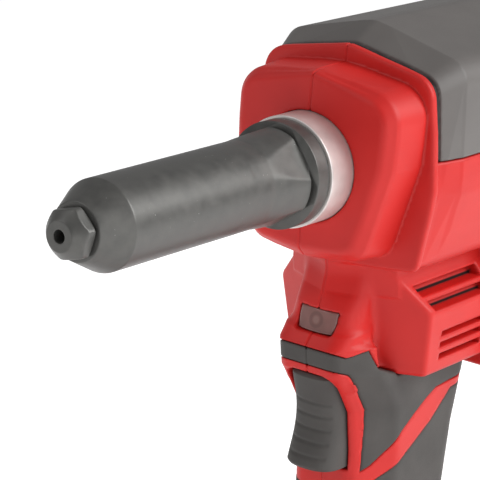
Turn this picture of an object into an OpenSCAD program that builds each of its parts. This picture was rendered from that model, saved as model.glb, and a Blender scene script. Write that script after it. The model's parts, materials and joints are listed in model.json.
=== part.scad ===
// Cordless pistol-grip riveting tool, built as an assembly of separate pieces.
// Millimetres. +Z is up, the nose points along -X, +Y is the right-hand side.
// The origin lies in the middle of the base of the battery pack.
// Inside the modules, s is the distance behind the red front face and z the height over the barrel axis.

/* [Overall] */
// Height of the barrel axis above the standing surface
axis_height = 215; // [208:1:226]
// Distance from the middle of the base forward to the red front face
face_offset = 46; // [43:1:49]
// Wall of the moulded housing
wall = 2.6; // [2.3:0.1:2.9]
// Gap between pieces that only lie beside each other
seat_gap = 0.3; // [0.2:0.05:0.4]
// Radial gap of a turning or sliding fit
run_gap = 0.06; // [0.03:0.01:0.1]

/* [Nose] */
// Diameter of the steel nose housing
barrel_d = 25; // [24:0.25:26]
// Distance from the red front face to the shoulder of the nose cone
barrel_length = 92.4; // [88:0.4:98]
// Wall of the nose housing
barrel_wall = 3; // [2.8:0.1:3.2]
// Length of the cone in front of the shoulder
cone_length = 9.1; // [8:0.1:10]
// Diameter of the cone where it meets the nosepiece
cone_tip_d = 16; // [15:0.5:17.5]
// Largest diameter of the flare behind the barrel
flare_d = 28.2; // [27.5:0.1:29]
// Length of the flare
flare_length = 16.4; // [14:0.2:18]
// Diameter of the flange that butts on the collar
flange_d = 30.8; // [30:0.1:31.4]
// Length of the flange
flange_length = 5.7; // [5:0.1:6.5]
// Distance across two opposite wrench flats
flats_across = 25; // [24:0.1:25.6]
// Roll of the wrench flats about the barrel axis, in degrees
flat_roll = 10.5; // [0:0.5:45]
// Diameter of the collar in the front face
collar_d = 32.2; // [31.6:0.1:33]
// Length of the collar that stands out of the front face
collar_length = 9.9; // [9:0.1:11]
// Nosepiece size across the hexagon
hex_across = 13; // [12.5:0.1:13.5]
// Length of the hexagon
hex_length = 2.6; // [2.2:0.1:3]
// Length of the nosepiece tip in front of the hexagon
tip_length = 3.4; // [3:0.1:4]
// Diameter of the flat end of the tip
tip_d = 8.4; // [7.5:0.1:9]
// Bore of the nosepiece
mandrel_d = 3.6; // [3.2:0.1:4]

/* [Drive] */
// Travel of the jaws
stroke = 25; // [22:0.5:26]
// Diameter of the ball screw
screw_d = 16; // [15:0.25:16.5]
// Bore of the ball screw
screw_bore = 6.4; // [6:0.1:6.8]
// Module of the two gears that join the motor to the ball nut
gear_module = 1; // [0.98:0.01:1.02]
// Diameter of the motor
motor_d = 35; // [34:0.2:35.4]
// Length of the motor windings and core
motor_length = 18; // [16:0.2:19]

/* [Head] */
// Width of the head
head_w = 68; // [66:0.5:71]
// Top of the head over the barrel axis
head_top = 40; // [38.5:0.5:42]
// Bottom of the head under the barrel axis
head_low = 31; // [30:0.2:31.6]
// Top of the rim at the front of the head
rim_top = 33.4; // [32:0.2:34.5]
// Width of the front block
block_w = 57.6; // [56.4:0.2:59]
// Top of the front block
block_top = 28.4; // [27.5:0.1:29.5]
// Bottom of the front block under the barrel axis
block_low = 28.6; // [28:0.1:29.4]
// Distance from the front face to the front of the rim
rim_start = 16.3; // [15.5:0.1:17]
// Distance from the front face to the rear end of the head
head_length = 118; // [117:0.5:122]
// Thickness of the grey top cover
cover_t = 2.5; // [2.2:0.1:2.8]
// Lower edge of the top cover over the barrel axis
cover_low = 4; // [2:0.5:7]

/* [Motor bulge] */
// Width of the bulge under the head
bulge_w = 54; // [52:0.5:56]
// Height of the vent shoulder over its foot
shoulder_h = 8.9; // [8:0.1:9.6]
// Depth of the bulge below the barrel axis
bulge_low = 66; // [65:0.2:67.5]
// Width of the vent slots in the shoulder
vent_w = 3.8; // [3:0.1:4.2]

/* [Grip] */
// Width of the grip over the rubber
grip_w = 33; // [31.5:0.25:34.5]
// Front to back size of the grip at mid height
grip_depth = 49; // [47:0.5:51]
// Thickness of the rubber sleeve
sleeve_t = 1.6; // [1.3:0.1:1.9]
// Width of the trigger
trigger_w = 16.6; // [15.6:0.2:17.4]
// Height of the trigger
trigger_h = 31; // [29:0.5:32]
// Travel of the trigger
trigger_travel = 7; // [5:0.5:7]
// Width of the lamp window
lamp_w = 13.6; // [12.5:0.1:14.5]
// Height of the lamp window
lamp_h = 6.8; // [6:0.1:7.4]

/* [Battery] */
// Length of the battery pack
pack_length = 110; // [108:1:116]
// Width of the battery pack
pack_w = 76; // [75:0.5:80]
// Height of the battery pack below its rails
pack_h = 50; // [49:0.5:52]
// Diameter of one cell
cell_d = 18.4; // [18:0.1:18.6]
// Travel of a release button
latch_travel = 2.5; // [2:0.1:3]

/* [Collector] */
// Diameter of the mandrel collector cup
cup_d = 42; // [40:0.5:46]
// Length of the cup behind the head
cup_length = 24; // [20:0.5:30]

/* [Hidden] */
$fn = 64;
hull_fn = 20;
room_fn = 24;

// Nose line
barrel_r = barrel_d / 2;
bore_r = barrel_r - barrel_wall;
flange_front = -collar_length - flange_length;
flare_front = flange_front - flare_length;
cone_front = -barrel_length - cone_length;
tip_front = cone_front - 0.5 - hex_length - tip_length;
mandrel_r = mandrel_d / 2;
nose_thread_r = 4.9;
nose_wall = cone_length + 0.6;
spigot_r = 12.4;
spigot_end = 7;
collar_flange_r = 20;
collar_flange_start = 3.2;
collar_flange_t = 4;
collar_end = 19;

// Ball screw line
screw_r = screw_d / 2;
rod_r = screw_r - 0.4;
rod_flat = 1.4;
bush_start = spigot_end + seat_gap;
bush_end = bush_start + 8;
tube_r = 19.5;
shoulder_start = collar_end + seat_gap;
washer_t = 1.6;
roller_r = 1.4;
nut_start = bush_end + stroke + 1.7;
thrust_start = nut_start - 2 * washer_t - 2 * roller_r - 0.4;
nut_r = 15;
hub_r = 11;
gear_start = 83;
gear_t = 8;
chamber_start = gear_start - 1;
chamber_end = gear_start + gear_t + 1;
plate_t = 3;
case_lip = 1.8;
cover_plate_t = 6.5;
hub_end = chamber_end + 6.2;
screw_end = head_length - stroke - 9.5;
cup_plug_r = 14;
cup_bore_r = cup_plug_r + seat_gap;
seal_r = 0.6;
seal_s = head_length - 2.4;
terminal_start = 73;
screw_thread_start = nut_start - stroke - 1;

// Jaw line
jaw_case_r = bore_r - 0.4;
jaw_case_front = cone_front + nose_wall + 1.2;
jaw_cone_l = 16;
jaw_mouth_r = 4.2;
jaw_bore_r = 6.9;
jaw_case_end = jaw_case_front + 42;
jaw_clear = 0.3;
jaw_open = 0.5;
jaw_front = jaw_case_front + 3;
pusher_front = jaw_front + jaw_cone_l + 0.2;
pusher_l = 6;
screw_front = jaw_case_end - 8;

// Gears
nut_teeth = 52;
drive_teeth = 38;
motor_drop = gear_module * (nut_teeth + drive_teeth) / 2;
backlash = 0.12;
pressure_angle = 20;
planet_module = 0.7;
sun_teeth = 12;
planet_teeth = 15;
ring_teeth = sun_teeth + 2 * planet_teeth;
planet_orbit = planet_module * (sun_teeth + planet_teeth) / 2;
planet_pin_r = 1.5;
planet_start = 67.5;
planet_l = 6.5;
ring_start = 66.8;
ring_end = 78;
ring_r = planet_module * ring_teeth / 2 + 2.2;
carrier_start = planet_start + planet_l + 0.4;
carrier_t = 3;
shaft_r = 5;
pivot_r = 4;
nut_tip_r = gear_module * (nut_teeth / 2 + 0.8);
drive_tip_r = gear_module * (drive_teeth / 2 + 0.8);
chamber_r = nut_tip_r + 0.7;
low_chamber_r = drive_tip_r + 0.7;
cup_wall = 2;
case_screw_r = 1.25;
case_screw_l = 7.5;
case_head_r = 2.5;
case_lobe_r = 3.2;
lobe_top = [10, sqrt(pow(chamber_r + case_lip + 1.6, 2) - 100)];
lobe_mid_r = chamber_r + case_lip + 1.8;
lobe_mid = [lobe_mid_r * cos(46), -lobe_mid_r * sin(46)];

// Motor
motor_r = motor_d / 2;
motor_start = 45;
motor_end = motor_start + motor_length;
rotor_r = 9;
air_gap = 0.5;
rotor_shaft_r = 2.5;
bearing_r = 6;
front_bearing = 33.6;
bearing_t = 3.6;
fan_start = 38.5;
fan_t = 5.4;
bracket_start = motor_end + 0.2;
bracket_end = ring_start - 0.2;

// Head outline: half sections as [y, z, corner radius]
head_r = 8;
face_r = 5;
rim_corner_r = 3;
body_pts = [[0, head_top - head_r, head_r], [head_w / 2 - head_r, head_top - 14, head_r],
    [head_w / 2 - head_r, -6, head_r], [head_w / 2 - head_r - 4.6, head_r - head_low, head_r],
    [0, head_r - head_low, head_r]];
rim_pts = [[0, rim_top - head_r, head_r], [head_w / 2 - head_r - 3.7, rim_top - 12.6, head_r],
    [head_w / 2 - head_r - 0.5, -4, head_r], [head_w / 2 - 6.6, rim_corner_r + 2 - head_low, rim_corner_r],
    [0, head_r - head_low, head_r]];
block_pts = [[0, block_top - head_r, head_r], [block_w / 2 - 10.5, block_top - 12.9, 10.4],
    [block_w / 2 - 8.4, 4, head_r], [block_w / 2 - 14.3, 9.1 - block_low, 7], [0, 7 - block_low, 7]];
face_pts = [[0, block_top - 1.2 - face_r, face_r], [block_w / 2 - 10.8, block_top - 12.9, 7],
    [block_w / 2 - 9.6, 4, 5.5], [block_w / 2 - 16.3, 11.1 - block_low, 5.5], [0, 9.8 - block_low, face_r]];
// How far the front block has opened from its face, as [s, share]
block_steps = [[0, 0], [0.7, 0.35], [2, 0.55], [4, 0.75], [8, 0.93]];
block_depth = 13;
rim_t = 3;
rim_end = rim_start + rim_t;
cover_start = rim_end + 0.4;
crest = rim_end + 6.5;
cover_end = head_length - 14;

// Bulge, lamp column, grip and foot
waist_w = 36.6;
shoulder_top = -36.1;
shoulder_low = shoulder_top - shoulder_h;
bulge_front = 8.5;
bulge_sweep = 0.5;
bulge_lean = 0.235;
bulge_taper = 2.5;
vent_pitch = 5.5;
vent_shift = 1;
vent_edge = 3.4;
vent_depth = 5.5;
row_edge = 7;
row_drop = 7.8;
row_pitch = 3.8;
row_w = 2;
vent_end = 66;
rear_start = 72;
rear_w = 62;
rear_low = 72;
column_w = 23.6;
column_top = -29;
column_low = -52.5;
column_rear = 38;
column_foot = -67.3;
column_foot_w = column_w - 0.6;
ridge_front = 24.13;
ridge_lean = 0.24;
facet_front = 32.16;
facet_lean = 0.32;
lamp_top = -45.4;
lamp_front = 14.1;
lamp_lean = 1.1;
lamp_frame = 0.9;
lens_back = lamp_front + 2.3;
board_face = lens_back + 2.6;
lip_top = -55.6;
lip_low = -64.3;
lip_front = 8.2;
band_low = -60.9;
foot_low = pack_h + seat_gap - axis_height;
foot_h = 14.5;
foot_top = foot_low + foot_h;
grip_front = 24;
grip_rear = grip_front + grip_depth;
// Grip sections as [z, front, rear, extra half width]
grip_top = [lip_top, lip_front, grip_rear + 6, 0];
grip_lip = [lip_low, lip_front + 1.8, grip_rear + 6, 0.8];
grip_inner = [lip_low - 3.2, 18, grip_rear + 5, 0.7];
grip_neck = [-77, 19.5, grip_rear + 4, 0.5];
grip_mid = [(foot_top - 77) / 2, grip_front, grip_rear, 0];
grip_end = [foot_top + 4, grip_front - 1, grip_rear + 4, 0.6];
grip_nose_w = 23;
finger_rear = 22.3;
trigger_top = lip_low - 0.4;
trigger_front = 9.5;
trigger_rear = 27;
trigger_stem_r = 2.4;
switch_start = trigger_rear + trigger_travel + 1;
switch_end = 58;
stem_z = trigger_top - 12;
switch_half = grip_w / 2 - sleeve_t - wall - seat_gap;
board_start = 40;
board_end = 60;

// Battery rails and pack
rail_neck = 20;
rail_head = 24;
rail_neck_h = 4.5;
rail_h = 9;
rail_gap = 0.35;
pack_front = face_offset - pack_length / 2;
pack_rear = face_offset + pack_length / 2;
rail_front = pack_front + 6;
rail_rear = 72;
channel_end = 86;
pack_wall = 2.5;
pack_floor = -axis_height;
pack_top = pack_floor + pack_h;
lid_t = 3;
cell_pitch = cell_d + 0.3;
cell_room = 3;
cell_length = pack_w - 2 * pack_wall - 2 * cell_room;
latch_s = 22;
latch_l = 20;
latch_h = 5.6;
latch_z = pack_top - lid_t - 3.4;
latch_in = pack_w / 2 - 8;
latch_seat = latch_in - 8.5;
gauge_r = 3.5;
gauge_z = pack_floor + 22;
pack_screws = [for (s = [pack_front + 4.4, pack_rear - 4.4], y = [-24, 24]) [s, y]];

// Screws that hold the housing halves together, as [s, z]
housing_points = [[28, 29], [12, -22.6], [108, 28], [108, -28], [104, -61], [29, -57.6],
    [62, -86], [36, foot_top + 14], [93, foot_low + 6.6]];
screw_shank_r = 1.5;
screw_head_r = 3.1;
screw_head_y = 8;
boss_r = 4;

// Everything is drawn from the front face and the barrel axis
module placed() {
    translate([-face_offset, 0, axis_height]) children();
}

// A round bar along the barrel, from a to b
module bar(a, b, r) {
    translate([a, 0, 0]) rotate([0, 90, 0]) cylinder(h = b - a, r = r);
}

// A turned piece along the barrel, drawn as [radius, s] points
module turned(points) {
    rotate([0, 90, 0]) rotate_extrude() polygon(points);
}

// A prism across the tool, drawn as [s, z] points
module across(points, w) {
    translate([0, w / 2, 0]) rotate([90, 0, 0]) linear_extrude(w) polygon(points);
}

// A prism along the tool, drawn as [y, z] points
module lengthwise(a, b, points) {
    translate([a, 0, 0]) rotate([90, 0, 90]) linear_extrude(b - a) polygon(points);
}

// A box from corner to corner
module block(from, to) {
    translate(from) cube(to - from);
}

// Mixes two outlines
function mix(a, b, t) = [for (i = [0:len(a) - 1]) a[i] * (1 - t) + b[i] * t];

// One thin slice of a head outline, taken in by g
module slice(s, pts, g = 0) {
    for (p = pts, side = [-1, 1])
        translate([s, side * p[0], p[1]]) rotate([0, 90, 0])
            cylinder(h = 0.2, r = p[2] - g, $fn = hull_fn);
}

// One thin slice of the grip, taken in by g
module grip_slice(cut, g = 0) {
    front = cut[1];
    half = grip_w / 2 + cut[3];
    for (side = [-1, 1]) {
        translate([front + 5, side * (grip_nose_w / 2 - 5), cut[0]])
            cylinder(h = 0.2, r = 5 - g, $fn = hull_fn);
        translate([front + 17, side * (half - 8), cut[0]])
            cylinder(h = 0.2, r = 8 - g, $fn = hull_fn);
        translate([cut[2] - 10, side * (half - 10), cut[0]])
            cylinder(h = 0.2, r = 10 - g, $fn = hull_fn);
    }
}

// The head behind the rim, with its top cover on, taken in by g
module head_body(g = 0) {
    cuts = [[rim_end - 0.2, rim_pts, 0.9], [crest, body_pts, 0], [head_length / 2, body_pts, 0],
        [head_length - 5, body_pts, 0], [head_length - 0.2, body_pts, 4]];
    for (k = [0:len(cuts) - 2]) hull() {
        slice(cuts[k][0], cuts[k][1], cuts[k][2] + g);
        slice(cuts[k + 1][0], cuts[k + 1][1], cuts[k + 1][2] + g);
    }
}

// The front block with its bevelled face, and the rim behind it
module front_block() {
    hull() {
        for (k = block_steps) slice(k[0], mix(face_pts, block_pts, k[1]));
        slice(block_depth, block_pts);
        slice(rim_start, block_pts);
    }
    hull() {
        slice(rim_start, rim_pts, 0.9);
        slice(rim_start + 0.8, rim_pts);
        slice(rim_end - 0.2, rim_pts);
    }
}

// How far back the front of the bulge lies at y and z
function bulge_start(y, z) = bulge_front + bulge_sweep * y - bulge_lean * z;

// The bulge round the motor: a vent shoulder on each side over upright walls
module bulge(g = 0) {
    half = bulge_w / 2 - 1 - g;
    // Corners as [y, z]
    corners = [[0, shoulder_top - g], [waist_w / 2 - g, shoulder_top - g], [half, shoulder_low],
        [half - bulge_taper, 1 + g - bulge_low], [0, 1 + g - bulge_low]];
    hull() for (side = [-1, 1], p = corners) {
        translate([bulge_start(p[0], p[1]) + 1 + g, side * p[0], p[1]]) ball_corner();
        translate([rear_start + 4, side * p[0], p[1]]) ball_corner();
    }
}

// The waist between head and bulge, with the same sweep at its front
module waist(g = 0) {
    half = waist_w / 2 - g;
    front = bulge_start(0, shoulder_top + 3) + g;
    translate([0, 0, shoulder_top - 6]) linear_extrude(-22 - shoulder_top)
        polygon([[front, 0], [front + bulge_sweep * half, half], [rear_start + 10, half],
            [rear_start + 10, -half], [front + bulge_sweep * half, -half]]);
}

module ball_corner() {
    sphere(r = 1, $fn = 12);
}

// The block round the gears at the rear, taken in by g
module rear_block(g = 0) {
    pts = [[rear_w / 2 - head_r, -24, head_r], [rear_w / 2 - head_r, head_r - rear_low, head_r]];
    hull() {
        slice(rear_start + g, pts, g + 4);
        slice(rear_start + g + 5, pts, g);
        slice(head_length - 5, pts, g);
        slice(head_length - 0.2 - g, pts, g + 4);
    }
}

// Outline of the lamp column at height z: a ridge between two facets, taken in by g
function column_points(z, g) =
    let (half = column_w / 2 - g,
        ridge = ridge_front + ridge_lean * z + g,
        edge = facet_front + facet_lean * z + g)
    [[ridge, 0], [edge, half], [column_rear, half], [column_rear, -half], [edge, -half]];

// The column that carries the lamp, with a flat frame for the lamp window and a foot down into the grip
module column(g = 0) {
    hull() for (z = [column_low, column_top])
        translate([0, 0, z]) linear_extrude(0.2) polygon(column_points(z, g));
    if (g == 0) {
        block([lamp_front - 0.5, -lamp_w / 2 - lamp_frame, lamp_top - lamp_h - lamp_frame],
            [lamp_front + 6, lamp_w / 2 + lamp_frame, lamp_top + lamp_frame]);
        block([finger_rear - 4, -column_foot_w / 2, column_foot],
            [column_rear - 4, column_foot_w / 2, column_low + 3]);
    }
}

// The grip with the finger rest over the trigger, taken in by g
module grip(g = 0) {
    difference() {
        grip_form(g);
        across([[finger_rear, column_top], [finger_rear + 0.2, lip_top - 0.8], [finger_rear + 1.5, -62.3],
            [34, -65.7], [90, -65.7], [90, column_top]], 80);
    }
}

module grip_form(g) {
    cuts = [grip_top, grip_lip, grip_neck, grip_mid, grip_end];
    hull() {
        translate([0, 0, column_low]) linear_extrude(0.2) polygon(column_points(column_low, g));
        grip_slice([grip_top[0], grip_top[1], 50, grip_top[3] - 0.3], g);
    }
    for (k = [0:len(cuts) - 2]) hull() {
        grip_slice(cuts[k], g);
        grip_slice(cuts[k + 1], g);
    }
}

// A thin rounded plate of the foot
module foot_plate(a, b, half, z, r) {
    for (s = [a + r, b - r], side = [-1, 1])
        translate([s, side * (half - r), z]) cylinder(h = 0.2, r = r, $fn = hull_fn);
}

// The foot that the battery slides into
module foot() {
    hull() {
        foot_plate(pack_front + 2, pack_rear - 2, pack_w / 2 - 2, foot_low, 9);
        foot_plate(pack_front + 2, pack_rear - 2, pack_w / 2 - 2, foot_low + 8, 9);
        foot_plate(pack_front + 7, pack_rear - 7, pack_w / 2 - 8, foot_top - 0.2, 9);
    }
    hull() {
        grip_slice(grip_end);
        foot_plate(grip_front - 6, grip_rear + 7, grip_w / 2 + 6, foot_top - 0.4, 9);
    }
}

// Where rubber covers the grip, seen from the side
module sleeve_mask() {
    low = foot_top + 5;
    across([[lip_front - 4, lip_top - 0.4], [lip_front, lip_top - 0.4], [15.1, lip_top - 1.4],
        [finger_rear - 0.6, lip_top - 1.1], [finger_rear + 0.7, -62.8], [34, -66.5], [90, -66.5], [90, low],
        [10, low], [23.5, -98], [24.4, -88.7], [25.2, -83], [24.6, -76.3], [18.9, -69.4], [13.4, -63],
        [lip_front, band_low - 0.4], [lip_front - 4, band_low - 0.4]], 80);
}

// The red stripe that crosses each side of the grip
module stripe_mask() {
    across([[8, -106.8], [32.8, -90], [43.4, -82.8], [54.1, -77], [66, -74.9], [90, -74], [90, -75.4],
        [64.7, -77.4], [55.4, -84.5], [43.9, -92.9], [8, -118.8]], 80);
}

// The rubber over both sides of the grip; over lets its outer face stand proud, to cut the seat
module sleeves(over = 0) {
    difference() {
        intersection() {
            grip(-over);
            sleeve_mask();
        }
        grip(sleeve_t);
        stripe_mask();
        bulge();
        rear_block();
        if (over == 0) trigger_opening();
    }
}

// The way in for the trigger
module trigger_opening() {
    half = trigger_w / 2 + seat_gap;
    block([-5, -half, trigger_top - trigger_h - 0.4], [switch_start, half, lip_low]);
}

// The hollow that the battery rails run in
module rail_channel() {
    for (part = [[rail_neck, -1, rail_neck_h - rail_gap], [rail_head, rail_neck_h - 2 * rail_gap, rail_h]])
        block([pack_front - 5, -part[0] - rail_gap, foot_low + part[1]],
            [channel_end, part[0] + rail_gap, foot_low + part[2]]);
}

// The room inside the housing; more takes it that much further into the wall
module hollow(more = 0) {
    w = wall - more;
    inside = cover_t + w;
    hull() {
        slice(collar_flange_start - more, mix(face_pts, block_pts, 0.5), w);
        slice(rim_start, block_pts, w);
    }
    hull() {
        slice(rim_start - 0.1, block_pts, w + 0.05);
        slice(crest + 0.1, block_pts, w + 0.05);
    }
    hull() {
        slice(crest, body_pts, inside);
        slice(head_length - 5, body_pts, inside);
        slice(head_length - w - 0.2, body_pts, inside + 2);
    }
    rear_block(w);
    bulge(w);
    waist(w);
    column(w);
    grip_hollow(sleeve_t + w);
}

module grip_hollow(inside) {
    hull() {
        grip_slice([column_low, 20, 60, -8], inside);
        grip_slice(grip_inner, inside);
    }
    hull() {
        grip_slice(grip_inner, inside);
        grip_slice(grip_neck, inside);
    }
    hull() {
        grip_slice(grip_neck, inside);
        grip_slice(grip_mid, inside);
    }
    hull() {
        grip_slice(grip_mid, inside);
        grip_slice([foot_low + rail_h + 2, grip_front - 1, grip_rear - 1, 0.4], inside);
    }
}

// Ribs that hold the drive inside the housing
module ribs() {
    for (s = [24, 52]) block([s, -40, -34], [s + 2.4, 40, 40]);
    for (s = [front_bearing, motor_start + 5]) block([s, -40, -70], [s + 2.4, 40, -26]);
    block([ring_end - 6, -40, -70], [ring_end - 3.6, 40, 40]);
    block([board_start, -40, foot_top + 20], [board_end, 40, foot_top + 22]);
    block([switch_start + 4, -40, trigger_top - trigger_h - 3], [switch_end, 40, trigger_top - trigger_h]);
    block([head_length - 8, -24, -24], [head_length, 24, 24]);
}

// The room that the drive and the electrics take inside the ribs
module drive_room() {
    g = seat_gap;
    bar(-1, head_length - 14, collar_d / 2 + g);
    bar(collar_flange_start - g, collar_end, collar_flange_r + g);
    bar(collar_flange_start, chamber_start, tube_r + g);
    bar(chamber_start - plate_t - g, chamber_end + cover_plate_t + g, chamber_r + case_lip + g);
    bar(hub_end - 4, head_length - 5.6, 17 + g);
    bar(head_length - 6, head_length + 1, cup_bore_r / cos(180 / room_fn));
    translate([0, 0, -motor_drop]) {
        bar(front_bearing - g, front_bearing + bearing_t + g, bearing_r + g);
        bar(front_bearing - g, motor_end, 4);
        bar(fan_start - 0.6, ring_start, motor_r + g);
        bar(bracket_start - g, chamber_start, ring_r + cup_wall + g);
        bar(chamber_start - plate_t - g, chamber_end + cover_plate_t + g, low_chamber_r + case_lip + g);
    }
    for (p = [lobe_top, lobe_mid], side = [-1, 1])
        translate([0, side * p[0], p[1]])
            bar(chamber_start - plate_t - g, chamber_end + cover_plate_t + g, case_lobe_r + g);
    block([switch_start - g, -switch_half - g, trigger_top - trigger_h - g],
        [switch_end + g, switch_half + g, trigger_top - 3 + g]);
    block([board_start - g, -switch_half - g, foot_top + 16 - g],
        [board_end + g, switch_half + g, foot_top + 44 + g]);
    block([terminal_start - g, -rail_neck + 2 - g, foot_low + rail_neck_h - g],
        [channel_end + g, rail_neck - 2 + g, foot_low + rail_h + g]);
}

// The lamp window, and the seats of the lens and the lamp board behind it
module lamp_room() {
    half = lamp_w / 2 + 0.15;
    block([0, -half, lamp_top - lamp_h - 0.15], [lens_back, half, lamp_top + 0.15]);
    block([lens_back - 1, -half - 1, lamp_top - lamp_h - 0.8],
        [board_face + 2, half + 1, lamp_top + 0.8]);
}

// Vent slots: two along the shoulder and three rows in the wall below, swept like the front of the bulge
module vents() {
    slope = atan2(shoulder_h, (bulge_w - waist_w) / 2);
    for (side = [-1, 1]) {
        for (v = [vent_shift - vent_pitch / 2, vent_shift + vent_pitch / 2]) {
            y = (bulge_w + waist_w) / 4 + v * cos(slope);
            z = (shoulder_top + shoulder_low) / 2 - v * sin(slope);
            translate([0, side * y, z]) rotate([-side * 90, 0, 0])
                vent(bulge_start(y, z) + vent_edge, vent_w * sin(slope), side);
        }
        for (k = [0:2]) {
            z = shoulder_low - row_drop - row_pitch * k;
            translate([0, side * bulge_w / 2, z]) rotate([-side * 90, 0, 0])
                vent(bulge_start(bulge_w / 2, z) + row_edge, row_w, side);
        }
    }
}

// A slot cut straight in from the side, from a back to the rear of the vents, with a swept front end
module vent(a, w, side) {
    sweep = side * w * bulge_sweep / 2;
    translate([0, 0, -vent_depth]) linear_extrude(2 * vent_depth)
        polygon([[a - sweep, -w / 2], [vent_end, -w / 2], [vent_end, w / 2], [a + sweep, w / 2]]);
}

// Bosses and holes of the screws that join the halves
module screw_bosses() {
    for (p = housing_points)
        translate([p[0], 0, p[1]]) rotate([90, 0, 0]) cylinder(h = 90, r = boss_r, center = true, $fn = 14);
}

module screw_holes() {
    for (p = housing_points) translate([p[0], 0, p[1]]) rotate([-90, 0, 0]) {
        translate([0, 0, -12.5]) cylinder(h = 21, r = screw_shank_r + 0.15, $fn = 10);
        translate([0, 0, screw_head_y]) cylinder(h = 60, r = screw_head_r + 0.3, $fn = 14);
    }
}

// The outside of the red housing
module housing_form() {
    front_block();
    head_body();
    waist();
    bulge();
    rear_block();
    column();
    grip();
    foot();
}

// The top cover; over lets its outer face stand proud, to cut the seat
module cover_form(over = 0) {
    intersection() {
        difference() {
            head_body(-over);
            head_body(cover_t);
        }
        block([cover_start, -60, cover_low], [cover_end, 60, 60]);
    }
}

// Both halves of the housing in one
module housing() {
    difference() {
        union() {
            difference() {
                housing_form();
                hollow();
            }
            intersection() {
                union() {
                    ribs();
                    screw_bosses();
                }
                hollow(1.2);
            }
        }
        cover_form(1);
        sleeves(1);
        drive_room($fn = room_fn);
        lamp_room();
        vents();
        screw_holes();
        trigger_opening();
        rail_channel();
    }
}

module left_housing() {
    color("#b02a2c") placed() intersection() {
        housing();
        block([-30, -80, -200], [160, 0, 80]);
    }
}

module right_housing() {
    color("#b02a2c") placed() intersection() {
        housing();
        block([-30, 0, -200], [160, 80, 80]);
    }
}

module top_cover() {
    color("#6d6e70") placed() cover_form();
}

module left_grip() {
    color("#3a3836") placed() intersection() {
        sleeves();
        block([-30, -80, -200], [160, 0, 80]);
    }
}

module right_grip() {
    color("#3a3836") placed() intersection() {
        sleeves();
        block([-30, 0, -200], [160, 80, 80]);
    }
}

// Light metal ring in the front face that the nose housing screws into
module nose_collar() {
    inner = spigot_r + run_gap;
    color("#cfc6c2") placed() turned([[inner, -collar_length], [collar_d / 2 - 0.6, -collar_length],
        [collar_d / 2, 0.6 - collar_length], [collar_d / 2, collar_flange_start],
        [collar_flange_r, collar_flange_start], [collar_flange_r, collar_flange_start + collar_flange_t],
        [collar_d / 2, collar_flange_start + collar_flange_t], [collar_d / 2, collar_end],
        [inner, collar_end]]);
}

// Steel nose housing: cone, barrel, flare with wrench flats, flange and threaded spigot
module nose_housing() {
    color("#4b4d4e") placed() difference() {
        turned([[nose_thread_r + run_gap, cone_front], [cone_tip_d / 2 - 0.4, cone_front],
            [cone_tip_d / 2, cone_front + 0.4], [barrel_r, -barrel_length], [barrel_r, flare_front],
            [flare_d / 2, flange_front], [flange_d / 2 - 0.4, flange_front],
            [flange_d / 2, flange_front + 0.4], [flange_d / 2, -collar_length - 0.6],
            [flange_d / 2 - 0.6, -collar_length], [spigot_r, -collar_length], [spigot_r, spigot_end],
            [bore_r, spigot_end], [bore_r, cone_front + nose_wall],
            [nose_thread_r + run_gap, cone_front + nose_wall]]);
        for (k = [0:3]) rotate([45 + flat_roll + 90 * k, 0, 0])
            block([flare_front - 8, -20, flats_across / 2], [flange_front, 20, 30]);
    }
}

// Hexagon nosepiece that the rivet sits against
module nosepiece() {
    hex_front = tip_front + tip_length;
    corner_r = hex_across / sqrt(3);
    color("#5a5c5d") placed() difference() {
        union() {
            intersection() {
                translate([tip_front, 0, 0]) rotate([0, 90, 0]) rotate([0, 0, 15])
                    cylinder(h = hex_length + tip_length, r = corner_r, $fn = 6);
                turned([[0, tip_front], [tip_d / 2, tip_front], [corner_r - 0.3, hex_front],
                    [corner_r, hex_front + 0.4], [corner_r, hex_front + hex_length - 0.4],
                    [corner_r - 0.6, hex_front + hex_length], [0, hex_front + hex_length]]);
            }
            turned([[0, hex_front], [nose_thread_r + 1, hex_front], [nose_thread_r + 1, cone_front],
                [nose_thread_r, cone_front], [nose_thread_r, cone_front + nose_wall - 0.4],
                [jaw_mouth_r - 0.8, cone_front + nose_wall - 0.4], [jaw_mouth_r - 0.8, jaw_front - 0.3],
                [0, jaw_front - 0.3]]);
        }
        bar(tip_front - 1, jaw_front + 1, mandrel_r);
    }
}

// Clear window of the lamp, leaning with the column
module led_lens() {
    low = lamp_top - lamp_h;
    color("#8a6a66") placed() across([[lamp_front, lamp_top], [lens_back, lamp_top], [lens_back, low],
        [lamp_front - lamp_lean, low]], lamp_w);
}

// Lamp on its small board
module led_board() {
    z = lamp_top - lamp_h / 2;
    half = lamp_w / 2 + 0.7;
    color("#dfe3d8") placed() {
        block([board_face, -half, lamp_top - lamp_h - 0.5], [board_face + 1.6, half, lamp_top + 0.5]);
        translate([0, 0, z]) bar(board_face - 1.4, board_face, 2.4);
        translate([board_face - 1.4, 0, z]) rotate([0, -90, 0])
            cylinder(h = 1, r1 = 2.4, r2 = 1.2);
    }
}

// Trigger: a waisted face with rounded sides, and a stem into the switch
module trigger() {
    low = trigger_top - trigger_h;
    half = trigger_w / 2;
    steps = 12;
    face = [for (k = [0:steps]) [trigger_front + 2.6 * sin(180 * k / steps), trigger_top - 0.6
        - (trigger_h - 1.8) * k / steps]];
    color("#4a4847") placed() {
        intersection() {
            across(concat([[trigger_rear, trigger_top], [trigger_front + 1, trigger_top]], face,
                [[trigger_front + 1.6, low], [trigger_rear, low]]), trigger_w);
            translate([0, 0, low - 1]) linear_extrude(trigger_h + 2) union() {
                translate([trigger_front + half - 1, 0]) circle(r = half);
                translate([trigger_front + half - 1, -half]) square([40, trigger_w]);
            }
        }
        translate([0, 0, stem_z]) bar(trigger_rear - 1, switch_start + 4, trigger_stem_r);
    }
}

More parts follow.
